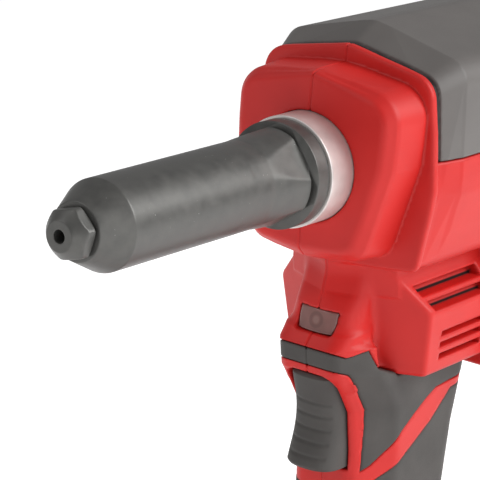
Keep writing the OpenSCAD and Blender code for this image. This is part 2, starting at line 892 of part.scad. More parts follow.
// Switch behind the trigger
module trigger_switch() {
    color("#2c2d2f") placed() difference() {
        block([switch_start, -switch_half, trigger_top - trigger_h],
            [switch_end, switch_half, trigger_top - 3]);
        translate([0, 0, stem_z])
            bar(switch_start - 1, switch_start + 5 + trigger_travel, trigger_stem_r + run_gap);
    }
}

// A coil spring along +X from a, with closed plain ends
module coil(a, l, r, wire_r, turns) {
    n = 10;
    m = 5;
    steps = n * turns;
    points = [for (i = [0:steps], j = [0:m - 1])
        let (u = 360 * i / n, v = 360 * j / m, q = r + wire_r * cos(v))
        [a + wire_r + (l - 2 * wire_r) * i / steps + wire_r * sin(v), q * cos(u), q * sin(u)]];
    skin = [for (i = [0:steps - 1], j = [0:m - 1])
        [i * m + j, i * m + (j + 1) % m, (i + 1) * m + (j + 1) % m, (i + 1) * m + j]];
    ends = [[for (j = [m - 1:-1:0]) j], [for (j = [0:m - 1]) steps * m + j]];
    polyhedron(points, concat(skin, ends), convexity = 10);
}

module trigger_spring() {
    color("#9a9c9e") placed() translate([0, 0, stem_z])
        coil(trigger_rear + 0.1, switch_start - trigger_rear - 0.2, trigger_stem_r + 1.4, 0.5, 5);
}

// Screws that join the housing halves, driven from the right-hand side
module housing_screws() {
    color("#3f4143") placed() for (p = housing_points)
        translate([p[0], 0, p[1]]) rotate([-90, 0, 0]) {
            translate([0, 0, -12]) cylinder(h = 12 + screw_head_y + 1, r = screw_shank_r, $fn = 24);
            translate([0, 0, screw_head_y]) difference() {
                cylinder(h = 2.4, r = screw_head_r, $fn = 24);
                translate([0, 0, 1]) cylinder(h = 3, r = 1.4, $fn = 6);
            }
        }
}

// Case that draws the jaws together on its inner cone
module jaw_case() {
    cone_end = jaw_case_front + 3 + jaw_cone_l;
    color("#6a6c6e") placed() difference() {
        bar(jaw_case_front, jaw_case_end, jaw_case_r);
        turned([[0, jaw_case_front - 1], [jaw_mouth_r, jaw_case_front - 1], [jaw_mouth_r, jaw_case_front + 3],
            [jaw_bore_r, cone_end], [jaw_bore_r, jaw_case_end + 1], [0, jaw_case_end + 1]]);
    }
}

// Three gripping jaws in a ring, held open by the nosepiece at rest
module jaws() {
    slope = (jaw_bore_r - jaw_mouth_r) / jaw_cone_l;
    inner = mandrel_r + jaw_open;
    color("#8d8f90") placed() difference() {
        turned([[inner, jaw_front], [jaw_mouth_r - jaw_clear, jaw_front],
            [jaw_mouth_r - jaw_clear + slope * (jaw_cone_l - 0.4), jaw_front + jaw_cone_l - 0.4],
            [inner, jaw_front + jaw_cone_l - 0.4]]);
        for (k = [0:2]) rotate([120 * k, 0, 0])
            block([jaw_front - 1, -0.5, 0], [jaw_front + jaw_cone_l, 0.5, 10]);
    }
}

// Sleeve that keeps the jaws pressed forward
module jaw_pusher() {
    color("#7a7467") placed() turned([[mandrel_r + 0.4, pusher_front], [4, pusher_front],
        [jaw_bore_r - 0.3, pusher_front + 2], [jaw_bore_r - 0.3, pusher_front + pusher_l],
        [mandrel_r + 0.4, pusher_front + pusher_l]]);
}

module jaw_spring() {
    a = pusher_front + pusher_l + 0.1;
    color("#9a9c9e") placed() coil(a, screw_front - a - 0.1, 4.6, 0.6, 5);
}

// Hollow ball screw: threaded nose, rod with two guide flats, and screw
module ball_screw() {
    color("#a6a8aa") placed() difference() {
        turned([[screw_bore / 2, screw_front], [jaw_bore_r - run_gap, screw_front],
            [jaw_bore_r - run_gap, jaw_case_end], [rod_r, jaw_case_end],
            [rod_r, screw_thread_start], [screw_r, screw_thread_start + 0.4],
            [screw_r, screw_end - 0.6], [screw_r - 0.6, screw_end], [screw_bore / 2, screw_end]]);
        for (side = [0, 180]) rotate([side, 0, 0])
            block([bush_start - stroke - 2, -20, rod_r - rod_flat], [screw_thread_start, 20, 20]);
    }
}

// Bronze bush with two flats that stops the ball screw from turning
module guide_bush() {
    color("#b08a4a") placed() difference() {
        bar(bush_start, bush_end, spigot_r);
        intersection() {
            bar(bush_start - 1, bush_end + 1, rod_r + run_gap);
            block([bush_start - 1, -20, rod_flat - rod_r - run_gap],
                [bush_end + 1, 20, rod_r - rod_flat + run_gap]);
        }
    }
}

// Turning nut of the ball screw, with a hub for its gear
module ball_nut() {
    inner = screw_r + seat_gap;
    color("#8f9294") placed() turned([[inner, nut_start], [nut_r, nut_start], [nut_r, chamber_start - 1],
        [hub_r, chamber_start - 1], [hub_r, hub_end], [inner, hub_end]]);
}

// Involute angle
function inv(a) = tan(a) * 180 / PI - a;

// Angle of a tooth flank from the middle of the tooth, at radius r
function flank(r, rp, rb, half) = half + inv(pressure_angle) - inv(acos(min(1, rb / r)));

// Outline of a spur gear with one tooth centred on +X
function gear_points(teeth, m, add, ded, slack) =
    let (rp = m * teeth / 2, rb = rp * cos(pressure_angle), ra = rp + add * m, rf = rp - ded * m,
        half = 90 / teeth - slack / rp * 45 / PI * 2, low = max(rb, rf), n = 3)
    [for (i = [0:teeth - 1], p = concat(
        low > rf ? [[rf, -flank(low, rp, rb, half)]] : [],
        [for (k = [0:n]) let (r = low + (ra - low) * k / n) [r, -flank(r, rp, rb, half)]],
        [for (k = [n:-1:0]) let (r = low + (ra - low) * k / n) [r, flank(r, rp, rb, half)]],
        low > rf ? [[rf, flank(low, rp, rb, half)]] : []))
        let (a = 360 * i / teeth + p[1]) [p[0] * cos(a), p[0] * sin(a)]];

// A spur gear along the tool, turned so that a tooth (or a gap) points up by the given roll
module spur(a, b, teeth, m, roll, bore, add = 0.8, ded = 1.2) {
    translate([a, 0, 0]) rotate([0, 90, 0]) rotate([0, 0, 180 + roll]) difference() {
        linear_extrude(b - a) polygon(gear_points(teeth, m, add, ded, backlash / 2));
        if (bore > 0) translate([0, 0, -1]) cylinder(h = b - a + 2, r = bore);
    }
}

// Gear on the hub of the ball nut, with a gap straight down
module nut_gear() {
    color("#9b9d9f") placed()
        spur(gear_start, gear_start + gear_t, nut_teeth, gear_module, 180 + 180 / nut_teeth,
            hub_r + run_gap);
}

// Thrust bearing that takes the pull of the nut
module thrust_bearing() {
    inner = screw_r + 1.2;
    outer = nut_r + 0.6;
    color("#c2c4c6") placed() {
        for (a = [thrust_start, thrust_start + washer_t + 2 * roller_r + 0.2])
            turned([[inner, a], [outer, a], [outer, a + washer_t], [inner, a + washer_t]]);
        for (k = [0:11]) rotate([30 * k, 0, 0])
            translate([thrust_start + washer_t + roller_r + 0.1, 0, inner + 0.8])
                cylinder(h = outer - inner - 1.6, r = roller_r, $fn = 24);
    }
}

// A ball bearing along the tool: two rings and its balls
module ball_bearing(a, b, inner, outer, ball_r, count) {
    mid = (inner + outer) / 2;
    c = (a + b) / 2;
    for (ring = [[inner, mid - ball_r * 0.6], [mid + ball_r * 0.6, outer]]) difference() {
        turned([[ring[0], a], [ring[1], a], [ring[1], b], [ring[0], b]]);
        translate([c, 0, 0]) rotate([0, 90, 0]) rotate_extrude()
            translate([mid, 0]) circle(r = ball_r + 0.05);
    }
    for (k = [0:count - 1]) rotate([360 * k / count, 0, 0]) translate([c, 0, mid]) sphere(r = ball_r);
}

// Rear bearing of the ball nut
module nut_bearing() {
    color("#c2c4c6") placed()
        ball_bearing(chamber_end + 0.6, chamber_end + 6, hub_r + run_gap, 18, 2, 16);
}

// Outline of the gear chamber: a ring round each gear, filled, with lobes for the screws
module chamber_outline(g) {
    circle(r = chamber_r + g);
    translate([motor_drop, 0]) circle(r = low_chamber_r + g);
}

// Cast case round the ball nut and in front of the gears
module gear_case() {
    tube_inner = nut_r + 1;
    color("#a9abad") placed() difference() {
        union() {
            bar(collar_flange_start + collar_flange_t + 0.2, chamber_start, tube_r);
            translate([chamber_start - plate_t, 0, 0]) rotate([0, 90, 0])
                linear_extrude(chamber_end - chamber_start + plate_t) chamber_outline(case_lip);
            for (p = [lobe_top, lobe_mid], side = [-1, 1]) translate([0, side * p[0], p[1]])
                bar(chamber_start - plate_t, chamber_end, case_lobe_r);
            translate([0, 0, -motor_drop]) bar(ring_start, chamber_start, ring_r + cup_wall);
        }
        bar(collar_flange_start, shoulder_start, collar_d / 2 + run_gap);
        bar(shoulder_start - 1, chamber_start, screw_r + 1);
        bar(thrust_start, chamber_end + 1, tube_inner);
        translate([chamber_start, 0, 0]) rotate([0, 90, 0])
            linear_extrude(chamber_end - chamber_start + 1) chamber_outline(0);
        translate([0, 0, -motor_drop]) {
            bar(ring_start - 1, ring_end + 0.2, ring_r + run_gap);
            bar(ring_end, chamber_start + 1, shaft_r + run_gap);
        }
        for (p = [lobe_top, lobe_mid], side = [-1, 1]) translate([0, side * p[0], p[1]])
            bar(chamber_end - case_screw_l - 0.5, chamber_end + 1, case_screw_r);
    }
}

// Lid of the gear chamber, which also seats the rear bearing of the nut
module gear_cover() {
    color("#9fa1a3") placed() difference() {
        union() {
            translate([chamber_end, 0, 0]) rotate([0, 90, 0])
                linear_extrude(plate_t) chamber_outline(case_lip);
            bar(chamber_end, chamber_end + cover_plate_t, 21);
            translate([0, 0, -motor_drop]) bar(chamber_end, chamber_end + 6, 7);
            for (p = [lobe_top, lobe_mid], side = [-1, 1]) translate([0, side * p[0], p[1]])
                bar(chamber_end, chamber_end + plate_t, case_lobe_r);
        }
        bar(chamber_end - 1, chamber_end + 0.5, 16.5);
        bar(chamber_end + 0.4, chamber_end + 6.2, 18 + run_gap);
        bar(chamber_end + 6, chamber_end + cover_plate_t + 1, 16.5);
        translate([0, 0, -motor_drop]) bar(chamber_end - 1, chamber_end + 5, pivot_r + run_gap);
        for (p = [lobe_top, lobe_mid], side = [-1, 1]) translate([0, side * p[0], p[1]])
            bar(chamber_end - 1, chamber_end + 10, case_screw_r + 0.1);
    }
}

// Four screws that hold the lid on the gear case
module gear_case_screws() {
    color("#3f4143") placed() for (p = [lobe_top, lobe_mid], side = [-1, 1])
        translate([0, side * p[0], p[1]]) {
            bar(chamber_end - case_screw_l, chamber_end + plate_t + 1, case_screw_r - 0.02);
            bar(chamber_end + plate_t, chamber_end + plate_t + 2.4, case_head_r);
        }
}

// Gear that the motor turns, with its shaft and rear pivot
module drive_gear() {
    color("#8b8d8f") placed() translate([0, 0, -motor_drop]) {
        spur(gear_start, gear_start + gear_t, drive_teeth, gear_module, 0, shaft_r - 0.5);
        bar(carrier_start + carrier_t, gear_start, shaft_r);
        bar(gear_start, gear_start + gear_t, shaft_r - 0.5);
        bar(gear_start + gear_t, chamber_end + 4.6, pivot_r);
    }
}

// Carrier of the planet gears
module planet_carrier() {
    color("#7c7e80") placed() translate([0, 0, -motor_drop]) {
        bar(carrier_start, carrier_start + carrier_t, planet_orbit + 3);
        for (k = [0:2]) rotate([120 * k, 0, 0]) translate([0, 0, planet_orbit])
            bar(planet_start, carrier_start + 1, planet_pin_r);
    }
}

// One planet gear, with a gap towards the middle of the ring
module planet_gear(k) {
    color("#b3b5b6") placed() translate([0, 0, -motor_drop]) rotate([120 * k, 0, 0])
        translate([0, 0, planet_orbit])
            spur(planet_start, planet_start + planet_l, planet_teeth, planet_module, 0,
                planet_pin_r + run_gap);
}

module planet_gear_a() {
    planet_gear(0);
}

module planet_gear_b() {
    planet_gear(1);
}

module planet_gear_c() {
    planet_gear(2);
}

// Fixed ring gear round the planets
module ring_gear() {
    color("#77797b") placed() translate([ring_start, 0, -motor_drop]) rotate([0, 90, 0]) rotate([0, 0, 180])
        difference() {
            cylinder(h = planet_l + 2, r = ring_r);
            translate([0, 0, -1]) linear_extrude(planet_l + 4)
                polygon(gear_points(ring_teeth, planet_module, 1.2, 0.5, -backlash / 2));
        }
}

// Wound core of the motor: a ring with slots between its twelve poles
module motor_stator() {
    poles = 12;
    color("#4d4f55") placed() translate([motor_start, 0, -motor_drop]) rotate([0, 90, 0]) difference() {
        cylinder(h = motor_length, r = motor_r);
        translate([0, 0, -1]) cylinder(h = motor_length + 2, r = rotor_r + air_gap);
        for (k = [0:poles - 1]) rotate([0, 0, 360 * k / poles]) translate([rotor_r + 3.6, 0, -1])
            cylinder(h = motor_length + 2, r = 1.7, $fn = 24);
    }
}

// Rotor with its shaft and the sun pinion at the rear end
module motor_rotor() {
    color("#55585c") placed() translate([0, 0, -motor_drop]) {
        bar(motor_start + 0.4, motor_end - 0.4, rotor_r);
        bar(front_bearing + 0.2, motor_start + 0.4, rotor_shaft_r);
        bar(motor_end - 0.4, planet_start - 0.2, rotor_shaft_r);
        spur(planet_start - 0.2, planet_start + planet_l - 0.3, sun_teeth, planet_module, 0, 0);
    }
}

// Cooling fan on the front of the rotor
module motor_fan() {
    blades = 11;
    color("#2f3032") placed() translate([0, 0, -motor_drop]) difference() {
        union() {
            bar(fan_start, fan_start + 1.4, motor_r - 1);
            bar(fan_start, fan_start + fan_t, 5);
            for (k = [0:blades - 1]) rotate([360 * k / blades, 0, 0])
                block([fan_start + 1, -0.6, 4], [fan_start + fan_t, 0.6, motor_r - 1.6]);
        }
        bar(fan_start - 1, fan_start + fan_t + 1, rotor_shaft_r);
    }
}

module motor_front_bearing() {
    color("#c2c4c6") placed() translate([0, 0, -motor_drop])
        ball_bearing(front_bearing, front_bearing + bearing_t, rotor_shaft_r + run_gap, bearing_r, 0.9, 9);
}

module motor_rear_bearing() {
    color("#c2c4c6") placed() translate([0, 0, -motor_drop])
        ball_bearing(bracket_start, bracket_start + 3, rotor_shaft_r + run_gap, bearing_r, 0.9, 9);
}

// Plate between motor and planet gears that carries the rear bearing
module motor_bracket() {
    color("#6b6d70") placed() translate([0, 0, -motor_drop]) difference() {
        bar(bracket_start, bracket_end, motor_r);
        bar(bracket_start - 1, bracket_start + 3.1, bearing_r + run_gap);
        bar(bracket_start, bracket_end + 1, 4.6);
    }
}

// Thin tube that leads spent mandrels from the screw to the cup
module mandrel_tube() {
    outer = screw_bore / 2 - 0.3;
    inner = outer - 0.5;
    flange = head_length - 7.6;
    color("#b9bbbd") placed() turned([[inner, screw_end - 12], [outer, screw_end - 12], [outer, flange],
        [cup_plug_r + 3, flange], [cup_plug_r + 3, flange + 1.7], [outer, flange + 1.7],
        [outer, head_length + 2], [inner, head_length + 2]]);
}

// Cup at the rear that collects spent mandrels, pulled off to empty it
module mandrel_cup() {
    color("#3c3b3a") placed() turned([[cup_plug_r - 2, head_length - 4.8], [cup_plug_r, head_length - 4.8],
        [cup_plug_r, seal_s - 0.65], [cup_plug_r - 1.25, seal_s - 0.65], [cup_plug_r - 1.25, seal_s + 0.65],
        [cup_plug_r, seal_s + 0.65], [cup_plug_r, head_length + seat_gap],
        [cup_d / 2, head_length + seat_gap],
        [cup_d / 2, head_length + cup_length - 4], [cup_d / 2 - 4, head_length + cup_length],
        [0, head_length + cup_length], [0, head_length + cup_length - 2.4],
        [cup_d / 2 - 5, head_length + cup_length - 2.4], [cup_d / 2 - 2.4, head_length + cup_length - 5],
        [cup_d / 2 - 2.4, head_length + 3], [cup_plug_r - 2, head_length + 3]]);
}

module cup_seal() {
    color("#202020") placed() translate([seal_s, 0, 0]) rotate([0, 90, 0]) rotate_extrude()
        translate([cup_bore_r - run_gap - seal_r, 0]) circle(r = seal_r, $fn = 24);
}

// Motor controller in its tray, in the lower grip
module control_board() {
    color("#3d5a45") placed() block([board_start, -switch_half, foot_top + 16],
        [board_end, switch_half, foot_top + 44]);
}

// Block with the blades that plug into the battery
module terminal_block() {
    low = foot_low + rail_neck_h;
    color("#c9a24a") placed() {
        block([terminal_start, 2 - rail_neck, low], [channel_end, rail_neck - 2, foot_low + rail_h - 0.1]);
        for (y = [-13, -5, 5, 13])
            block([terminal_start - 14, y - 0.5, low + 0.4], [terminal_start + 1, y + 0.5, low + 3.6]);
    }
}

// Rounded outline of the pack
module pack_outline(g) {
    r = 9 - g;
    for (s = [pack_front + 9, pack_rear - 9], side = [-1, 1])
        translate([s, side * (pack_w / 2 - 9)]) circle(r = r);
    translate([pack_front + g, 9 - pack_w / 2]) square([pack_length - 2 * g, pack_w - 18]);
    translate([pack_front + 9, g - pack_w / 2]) square([pack_length - 18, pack_w - 2 * g]);
}

// Lower case of the battery pack
module battery_case() {
    color("#2b2b2c") placed() difference() {
        translate([0, 0, pack_floor]) linear_extrude(pack_h - lid_t - 0.1) pack_outline(0);
        translate([0, 0, pack_floor + pack_wall]) linear_extrude(pack_h) pack_outline(pack_wall);
        for (side = [-1, 1])
            block([latch_s - latch_l / 2 - 0.3, min(0, side * 60), latch_z - latch_h / 2 - 0.3],
                [latch_s + latch_l / 2 + 0.3, max(0, side * 60), pack_top]);
        translate([0, 0, gauge_z]) bar(pack_front - 1, pack_front + pack_wall + 1, gauge_r + run_gap);
    }
}

// Lid of the battery pack with the rails that slide into the foot
module battery_cover() {
    color("#a83030") placed() difference() {
        union() {
            translate([0, 0, pack_top - lid_t]) linear_extrude(lid_t) pack_outline(0);
            lengthwise(rail_front, rail_rear, [[-rail_neck, pack_top - 1], [rail_neck, pack_top - 1],
                [rail_neck, pack_top + rail_neck_h], [rail_head, pack_top + rail_neck_h],
                [rail_head, pack_top + rail_h], [-rail_head, pack_top + rail_h],
                [-rail_head, pack_top + rail_neck_h], [-rail_neck, pack_top + rail_neck_h]]);
            for (side = [-1, 1])
                block([latch_s - 5, side * (latch_seat - 1) - 1, latch_z - 3],
                    [latch_s + 5, side * (latch_seat - 1) + 1, pack_top - 1]);
        }
        for (y = [-13, -5, 5, 13])
            block([terminal_start - 16, y - 1.2, pack_top + rail_neck_h - 0.4],
                [rail_rear + 1, y + 1.2, pack_top + rail_h + 1]);
        for (p = pack_screws) translate([p[0], p[1], pack_top - lid_t - 1])
            cylinder(h = lid_t + 2, r = 1.6);
    }
}

// Ten round cells in two rows
module battery_cells() {
    color("#5f7f9f") placed() for (row = [0, 1], k = [-2:2])
        translate([face_offset + k * cell_pitch, -cell_length / 2,
            pack_floor + pack_wall + 0.3 + cell_d / 2 + row * cell_pitch])
            rotate([-90, 0, 0]) cylinder(h = cell_length, d = cell_d, $fn = 48);
}

// Release button on one side of the pack
module latch(side) {
    near = side > 0 ? latch_in : -pack_w / 2 - 1;
    far = side > 0 ? pack_w / 2 + 1 : -latch_in;
    block([latch_s - latch_l / 2, near, latch_z - latch_h / 2],
        [latch_s + latch_l / 2, far, latch_z + latch_h / 2]);
}

module left_latch() {
    color("#8c2427") placed() latch(-1);
}

module right_latch() {
    color("#8c2427") placed() latch(1);
}

module latch_spring(side) {
    translate([latch_s, 0, latch_z]) rotate([0, 0, side * 90])
        coil(latch_seat + 0.1, latch_in - latch_seat - 0.2, 1.8, 0.4, 5);
}

module left_latch_spring() {
    color("#9a9c9e") placed() latch_spring(-1);
}

module right_latch_spring() {
    color("#9a9c9e") placed() latch_spring(1);
}

// Button on the front of the pack that shows the charge
module gauge_button() {
    color("#55575a") placed() translate([0, 0, gauge_z]) bar(pack_front - 0.4, pack_front + 4, gauge_r);
}

module battery_screws() {
    color("#3f4143") placed() for (p = pack_screws) translate([p[0], p[1], 0]) {
        translate([0, 0, pack_top - lid_t + 0.2]) cylinder(h = lid_t - 0.4, r = 1.54);
    }
}

left_housing();
right_housing();
top_cover();
left_grip();
right_grip();
nose_collar();
nose_housing();
nosepiece();
led_lens();
led_board();
trigger();
trigger_switch();
trigger_spring();
housing_screws();
jaw_case();
jaws();
jaw_pusher();
jaw_spring();
ball_screw();
guide_bush();
ball_nut();
nut_gear();
thrust_bearing();
nut_bearing();
gear_case();
gear_cover();
gear_case_screws();
drive_gear();
planet_carrier();
planet_gear_a();
planet_gear_b();
planet_gear_c();
ring_gear();
motor_stator();
motor_rotor();
motor_fan();
motor_front_bearing();
motor_rear_bearing();
motor_bracket();
mandrel_tube();
mandrel_cup();
cup_seal();
control_board();
terminal_block();
battery_case();
battery_cover();
battery_cells();
left_latch();
right_latch();
left_latch_spring();
right_latch_spring();
gauge_button();
battery_screws();
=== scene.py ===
import json
import math

import bpy
import numpy as np
from mathutils import Matrix, Vector


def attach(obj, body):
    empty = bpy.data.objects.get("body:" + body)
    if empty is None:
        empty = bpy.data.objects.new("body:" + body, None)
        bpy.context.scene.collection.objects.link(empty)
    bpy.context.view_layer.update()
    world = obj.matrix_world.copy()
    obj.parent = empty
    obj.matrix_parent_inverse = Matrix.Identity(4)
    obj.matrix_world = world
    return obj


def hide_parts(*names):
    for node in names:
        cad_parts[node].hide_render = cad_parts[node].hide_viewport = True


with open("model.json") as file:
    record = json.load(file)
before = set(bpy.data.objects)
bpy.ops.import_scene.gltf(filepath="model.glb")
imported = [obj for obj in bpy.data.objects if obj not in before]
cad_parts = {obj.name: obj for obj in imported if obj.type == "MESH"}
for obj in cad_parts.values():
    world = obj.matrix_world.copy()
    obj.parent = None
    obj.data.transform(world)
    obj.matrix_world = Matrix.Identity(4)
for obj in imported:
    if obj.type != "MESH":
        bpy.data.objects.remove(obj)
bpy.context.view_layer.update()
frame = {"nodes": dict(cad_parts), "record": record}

# Nose housing: a turned and black-oxided steel tube that screws into the collar.
# Four wrench flats are milled into its flare, with a groove between them and the flange.
# Use has left a few bright scuffs on it.


class Flow:
    """One value in a material's node tree: arithmetic adds Math nodes, node() adds any other kind."""

    def __init__(self, tree, socket=None):
        self.tree, self.socket = tree, socket

    def node(self, kind, inputs=(), output=0, **settings):
        made = self.tree.nodes.new("ShaderNode" + kind)
        for key, value in settings.items():
            setattr(made, key, value)
        for key, value in dict(inputs).items():
            if isinstance(value, Flow):
                self.tree.links.new(value.socket, made.inputs[key])
            else:
                made.inputs[key].default_value = value
        return Flow(self.tree, made.outputs[output]) if made.outputs else made

    def math(self, operation, *values):
        return self.node("Math", enumerate(values), operation=operation)

    def __add__(self, other):
        return self.math("ADD", self, other)

    __radd__ = __add__

    def __sub__(self, other):
        return self.math("SUBTRACT", self, other)

    def __rsub__(self, other):
        return self.math("SUBTRACT", other, self)

    def __mul__(self, other):
        return self.math("MULTIPLY", self, other)

    __rmul__ = __mul__

    def ramp(self, low, high, out_low=0.0, out_high=1.0):
        return self.node("MapRange", {0: self, 1: low, 2: high, 3: out_low, 4: out_high})

    def mix(self, first, second):
        return self.node("Mix", {0: self, 6: first, 7: second}, output=2, data_type="RGBA")


def material(slot, build, **constants):
    """A Principled material for a slot of the record. build(flow, at) gives its varying inputs
    at the point at."""
    made = bpy.data.materials.new(slot)
    made["slot"] = slot
    made.use_nodes = True
    tree = made.node_tree
    shader = tree.nodes["Principled BSDF"]
    for key, value in constants.items():
        shader.inputs[key.replace("_", " ")].default_value = value
    flow = Flow(tree)
    at = flow.node("TexCoord", output=3)
    for key, value in build(flow, at).items():
        tree.links.new(value.socket, shader.inputs[key])
    return made


def noise(flow, at, scale, detail=3.0, stretch=(1, 1, 1)):
    """Noise over the point, with scale in cycles per metre and a stretch along each axis."""
    place = flow.node("Mapping", {0: at, 3: tuple(scale * k for k in stretch)})
    return flow.node("TexNoise", {"Vector": place, "Scale": 1.0, "Detail": detail})


def bump(flow, height, distance, strength):
    return flow.node("Bump", {"Height": height, "Distance": distance, "Strength": strength})


def oxide(flow, at):
    mottle = noise(flow, at, 260, 4)
    turning = noise(flow, at, 2600, 2, (1, 0.04, 0.04))
    scuff = noise(flow, at, 420, 6, (0.5, 1, 1)).ramp(0.66, 0.74)
    worn = scuff.math("MAXIMUM", noise(flow, at, 90, 2).ramp(0.5, 0.62), 0.0)
    speck = noise(flow, at, 1500, 1).ramp(0.76, 0.82) * worn
    dark = mottle.ramp(0.3, 0.7).mix((0.085, 0.084, 0.080, 1), (0.110, 0.108, 0.102, 1))
    return {
        "Base Color": speck.mix(dark, (0.5, 0.5, 0.48, 1)),
        "Roughness": mottle.ramp(0.3, 0.7, 0.36, 0.46) - 0.08 * speck,
        "Normal": bump(flow, turning + 0.6 * noise(flow, at, 3800, 2), 0.00003, 0.35),
    }


black_oxide = material("dark_steel", oxide, Metallic=0.55)
# Shapes are written in mm as (s, y, z): s backward from the red front face, z up from the barrel axis.
TO_MODEL = np.array([-46.0, 0.0, 215.0])


def piece(name, points, faces, body, finish, *stands_for):
    """A smooth mesh from points (s, y, z), riding on a body in place of the CAD nodes named."""
    mesh = bpy.data.meshes.new(name)
    quads = np.asarray(faces, np.int32)
    mesh.vertices.add(len(points))
    mesh.vertices.foreach_set("co", ((points + TO_MODEL) * 0.001).astype(np.float32).ravel())
    mesh.loops.add(quads.size)
    mesh.loops.foreach_set("vertex_index", quads.ravel())
    mesh.polygons.add(len(quads))
    mesh.polygons.foreach_set("loop_start", np.arange(0, quads.size, quads.shape[1], dtype=np.int32))
    mesh.polygons.foreach_set("use_smooth", np.ones(len(quads), bool))
    mesh.update(calc_edges=True)
    mesh.validate()
    mesh.materials.append(finish)
    made = bpy.data.objects.new(name, mesh)
    bpy.context.scene.collection.objects.link(made)
    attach(made, body)
    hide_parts(*stands_for)
    return made


def grid_faces(rows, columns, wrap=False):
    """Quads of a grid of rows times columns; wrap joins the last column to the first."""
    i, j = np.meshgrid(np.arange(rows - 1), np.arange(columns if wrap else columns - 1), indexing="ij")
    k = (j + 1) % columns
    here, below = i * columns, (i + 1) * columns
    return np.stack([here + j, here + k, below + k, below + j], -1).reshape(-1, 4)


def rounded(points, radius, steps=4):
    """The corners of a path eased: each becomes a quadratic curve that starts and ends at radius
    from the corner, or half way along a shorter side."""
    p = np.asarray(points, float)
    out = [p[0]]
    for a, b, c in zip(p[:-2], p[1:-1], p[2:]):
        before, after = a - b, c - b
        first = b + before * min(0.5, radius / (np.linalg.norm(before) + 1e-9))
        last = b + after * min(0.5, radius / (np.linalg.norm(after) + 1e-9))
        for t in np.linspace(0, 1, steps + 1):
            out.append((1 - t) ** 2 * first + 2 * t * (1 - t) * b + t * t * last)
    return np.array(out + [p[-1]])


def dense(path, gap):
    """A path with points added so that none lie further apart than gap."""
    out = [path[:1]]
    for a, b in zip(path[:-1], path[1:]):
        n = max(1, int(np.ceil(np.linalg.norm(b - a) / gap)))
        out.append(a + (b - a) * (np.arange(1, n + 1) / n)[:, None])
    return np.concatenate(out)


def soft_min(a, b, r):
    """The smaller of two fields, with the corner between them eased over r."""
    h = np.maximum(r - np.abs(a - b), 0) / r
    return np.minimum(a, b) - h * h * r * 0.25


def soft_max(a, b, r):
    """The larger of two fields, eased over r."""
    return -soft_min(-a, -b, r)


def turned(path, radius=None, columns=192):
    """Radius times the circle round the barrel axis: path gives (s, r), and radius(s, r, angle)
    may reshape r."""
    angle = np.linspace(0, 2 * np.pi, columns, endpoint=False)
    s, r = path[:, :1] + 0 * angle, path[:, 1:] + 0 * angle
    if radius:
        r = radius(s, r, angle)
    points = np.stack([s, r * np.cos(angle), r * np.sin(angle)], -1)
    return points.reshape(-1, 3), grid_faces(len(path), columns, True)


BARREL_R, FLANGE_R, BORE_R = 12.5, 15.4, 4.96
NOSE_END, FLANGE_FRONT, FLANGE_REAR = -101.5, -15.6, -9.95
FLAT_ANGLE = 145.5


def flats(s, r, angle):
    """The four flats: planes one barrel radius from the axis that cut the flare, eased over 0.25 mm."""
    off = (np.degrees(angle) - FLAT_ANGLE + 45) % 90 - 45
    plane = BARREL_R / np.cos(np.radians(off))
    return np.where((s > -40) & (s < -15.5) & (r > 8), soft_min(r, plane, 0.25), r)


bore = [(-96, BORE_R), (NOSE_END, BORE_R)]
cone = [(NOSE_END, 8.0), (-92.4, BARREL_R)]
flare = [(-32, BARREL_R), (-16.9, 14.0)]
groove = [(-16.6, 12.6), (-15.8, 12.6)]
flange = [(FLANGE_FRONT, FLANGE_R), (FLANGE_REAR, FLANGE_R), (FLANGE_REAR, 12.6)]
path = rounded(bore + cone + flare + groove + flange, 0.3)
piece("nose_housing_skin", *turned(dense(path, 0.7), flats, 288), "tool", black_oxide, "nose_housing")

# Nosepiece: a turned hexagon with a conical tip and a plain hole for the rivet's mandrel.
# It screws into the cone of the nose housing and is changed to suit the rivet.


HEXAGON_HALF, HEXAGON_ANGLE = 6.5, 15
MANDREL_R, TIP, SHOULDER = 1.8, -108.0, -102.0


def hexagon(s, r, angle):
    """The smaller of the turned radius and a hexagon 13 mm across flats, eased at the corners."""
    off = (np.degrees(angle) - HEXAGON_ANGLE + 30) % 60 - 30
    plane = HEXAGON_HALF / np.cos(np.radians(off))
    return np.where((s < -101.9) & (r > 3), soft_min(r, plane, 0.3), r)


hole = [(-96, MANDREL_R), (TIP, MANDREL_R), (TIP, 4.2)]
outside = [(-104.6, 7.25), (-102.3, 7.4), (SHOULDER, 6.9), (SHOULDER, 5.9), (-101.4, 5.9)]
path = rounded(hole + outside, 0.22)
piece("nosepiece_skin", *turned(dense(path, 0.4), hexagon, 240), "tool", black_oxide, "nosepiece")

# Collar: a light alloy ring clamped in the housing, turned to a satin face with a bright front edge.
# The nose housing screws into it from the front.


def satin(flow, at):
    turning = noise(flow, at, 4200, 2, (1, 0.02, 0.02))
    cloud = noise(flow, at, 150, 3)
    return {
        "Base Color": cloud.ramp(0.3, 0.7).mix((0.60, 0.55, 0.53, 1), (0.72, 0.67, 0.65, 1)),
        "Roughness": turning.ramp(0.3, 0.7, 0.30, 0.42),
        "Normal": bump(flow, turning, 0.00003, 0.4),
    }


satin_alloy = material("collar_metal", satin, Metallic=0.5)
COLLAR_R, COLLAR_FRONT, COLLAR_REAR = 16.1, -9.9, 4.0
front = [(-6, 12.6), (COLLAR_FRONT, 12.6), (COLLAR_FRONT, 15.95), (-9.75, COLLAR_R)]
path = rounded(front + [(COLLAR_REAR, COLLAR_R), (COLLAR_REAR, 12.6)], 0.2)
piece("nose_collar_skin", *turned(dense(path, 0.7), None, 224), "tool", satin_alloy, "nose_collar")

# Housing: two halves of red glass-filled nylon, moulded with a fine spark texture.
# Screws driven from the right join them, and a fine groove marks the split in the middle plane.


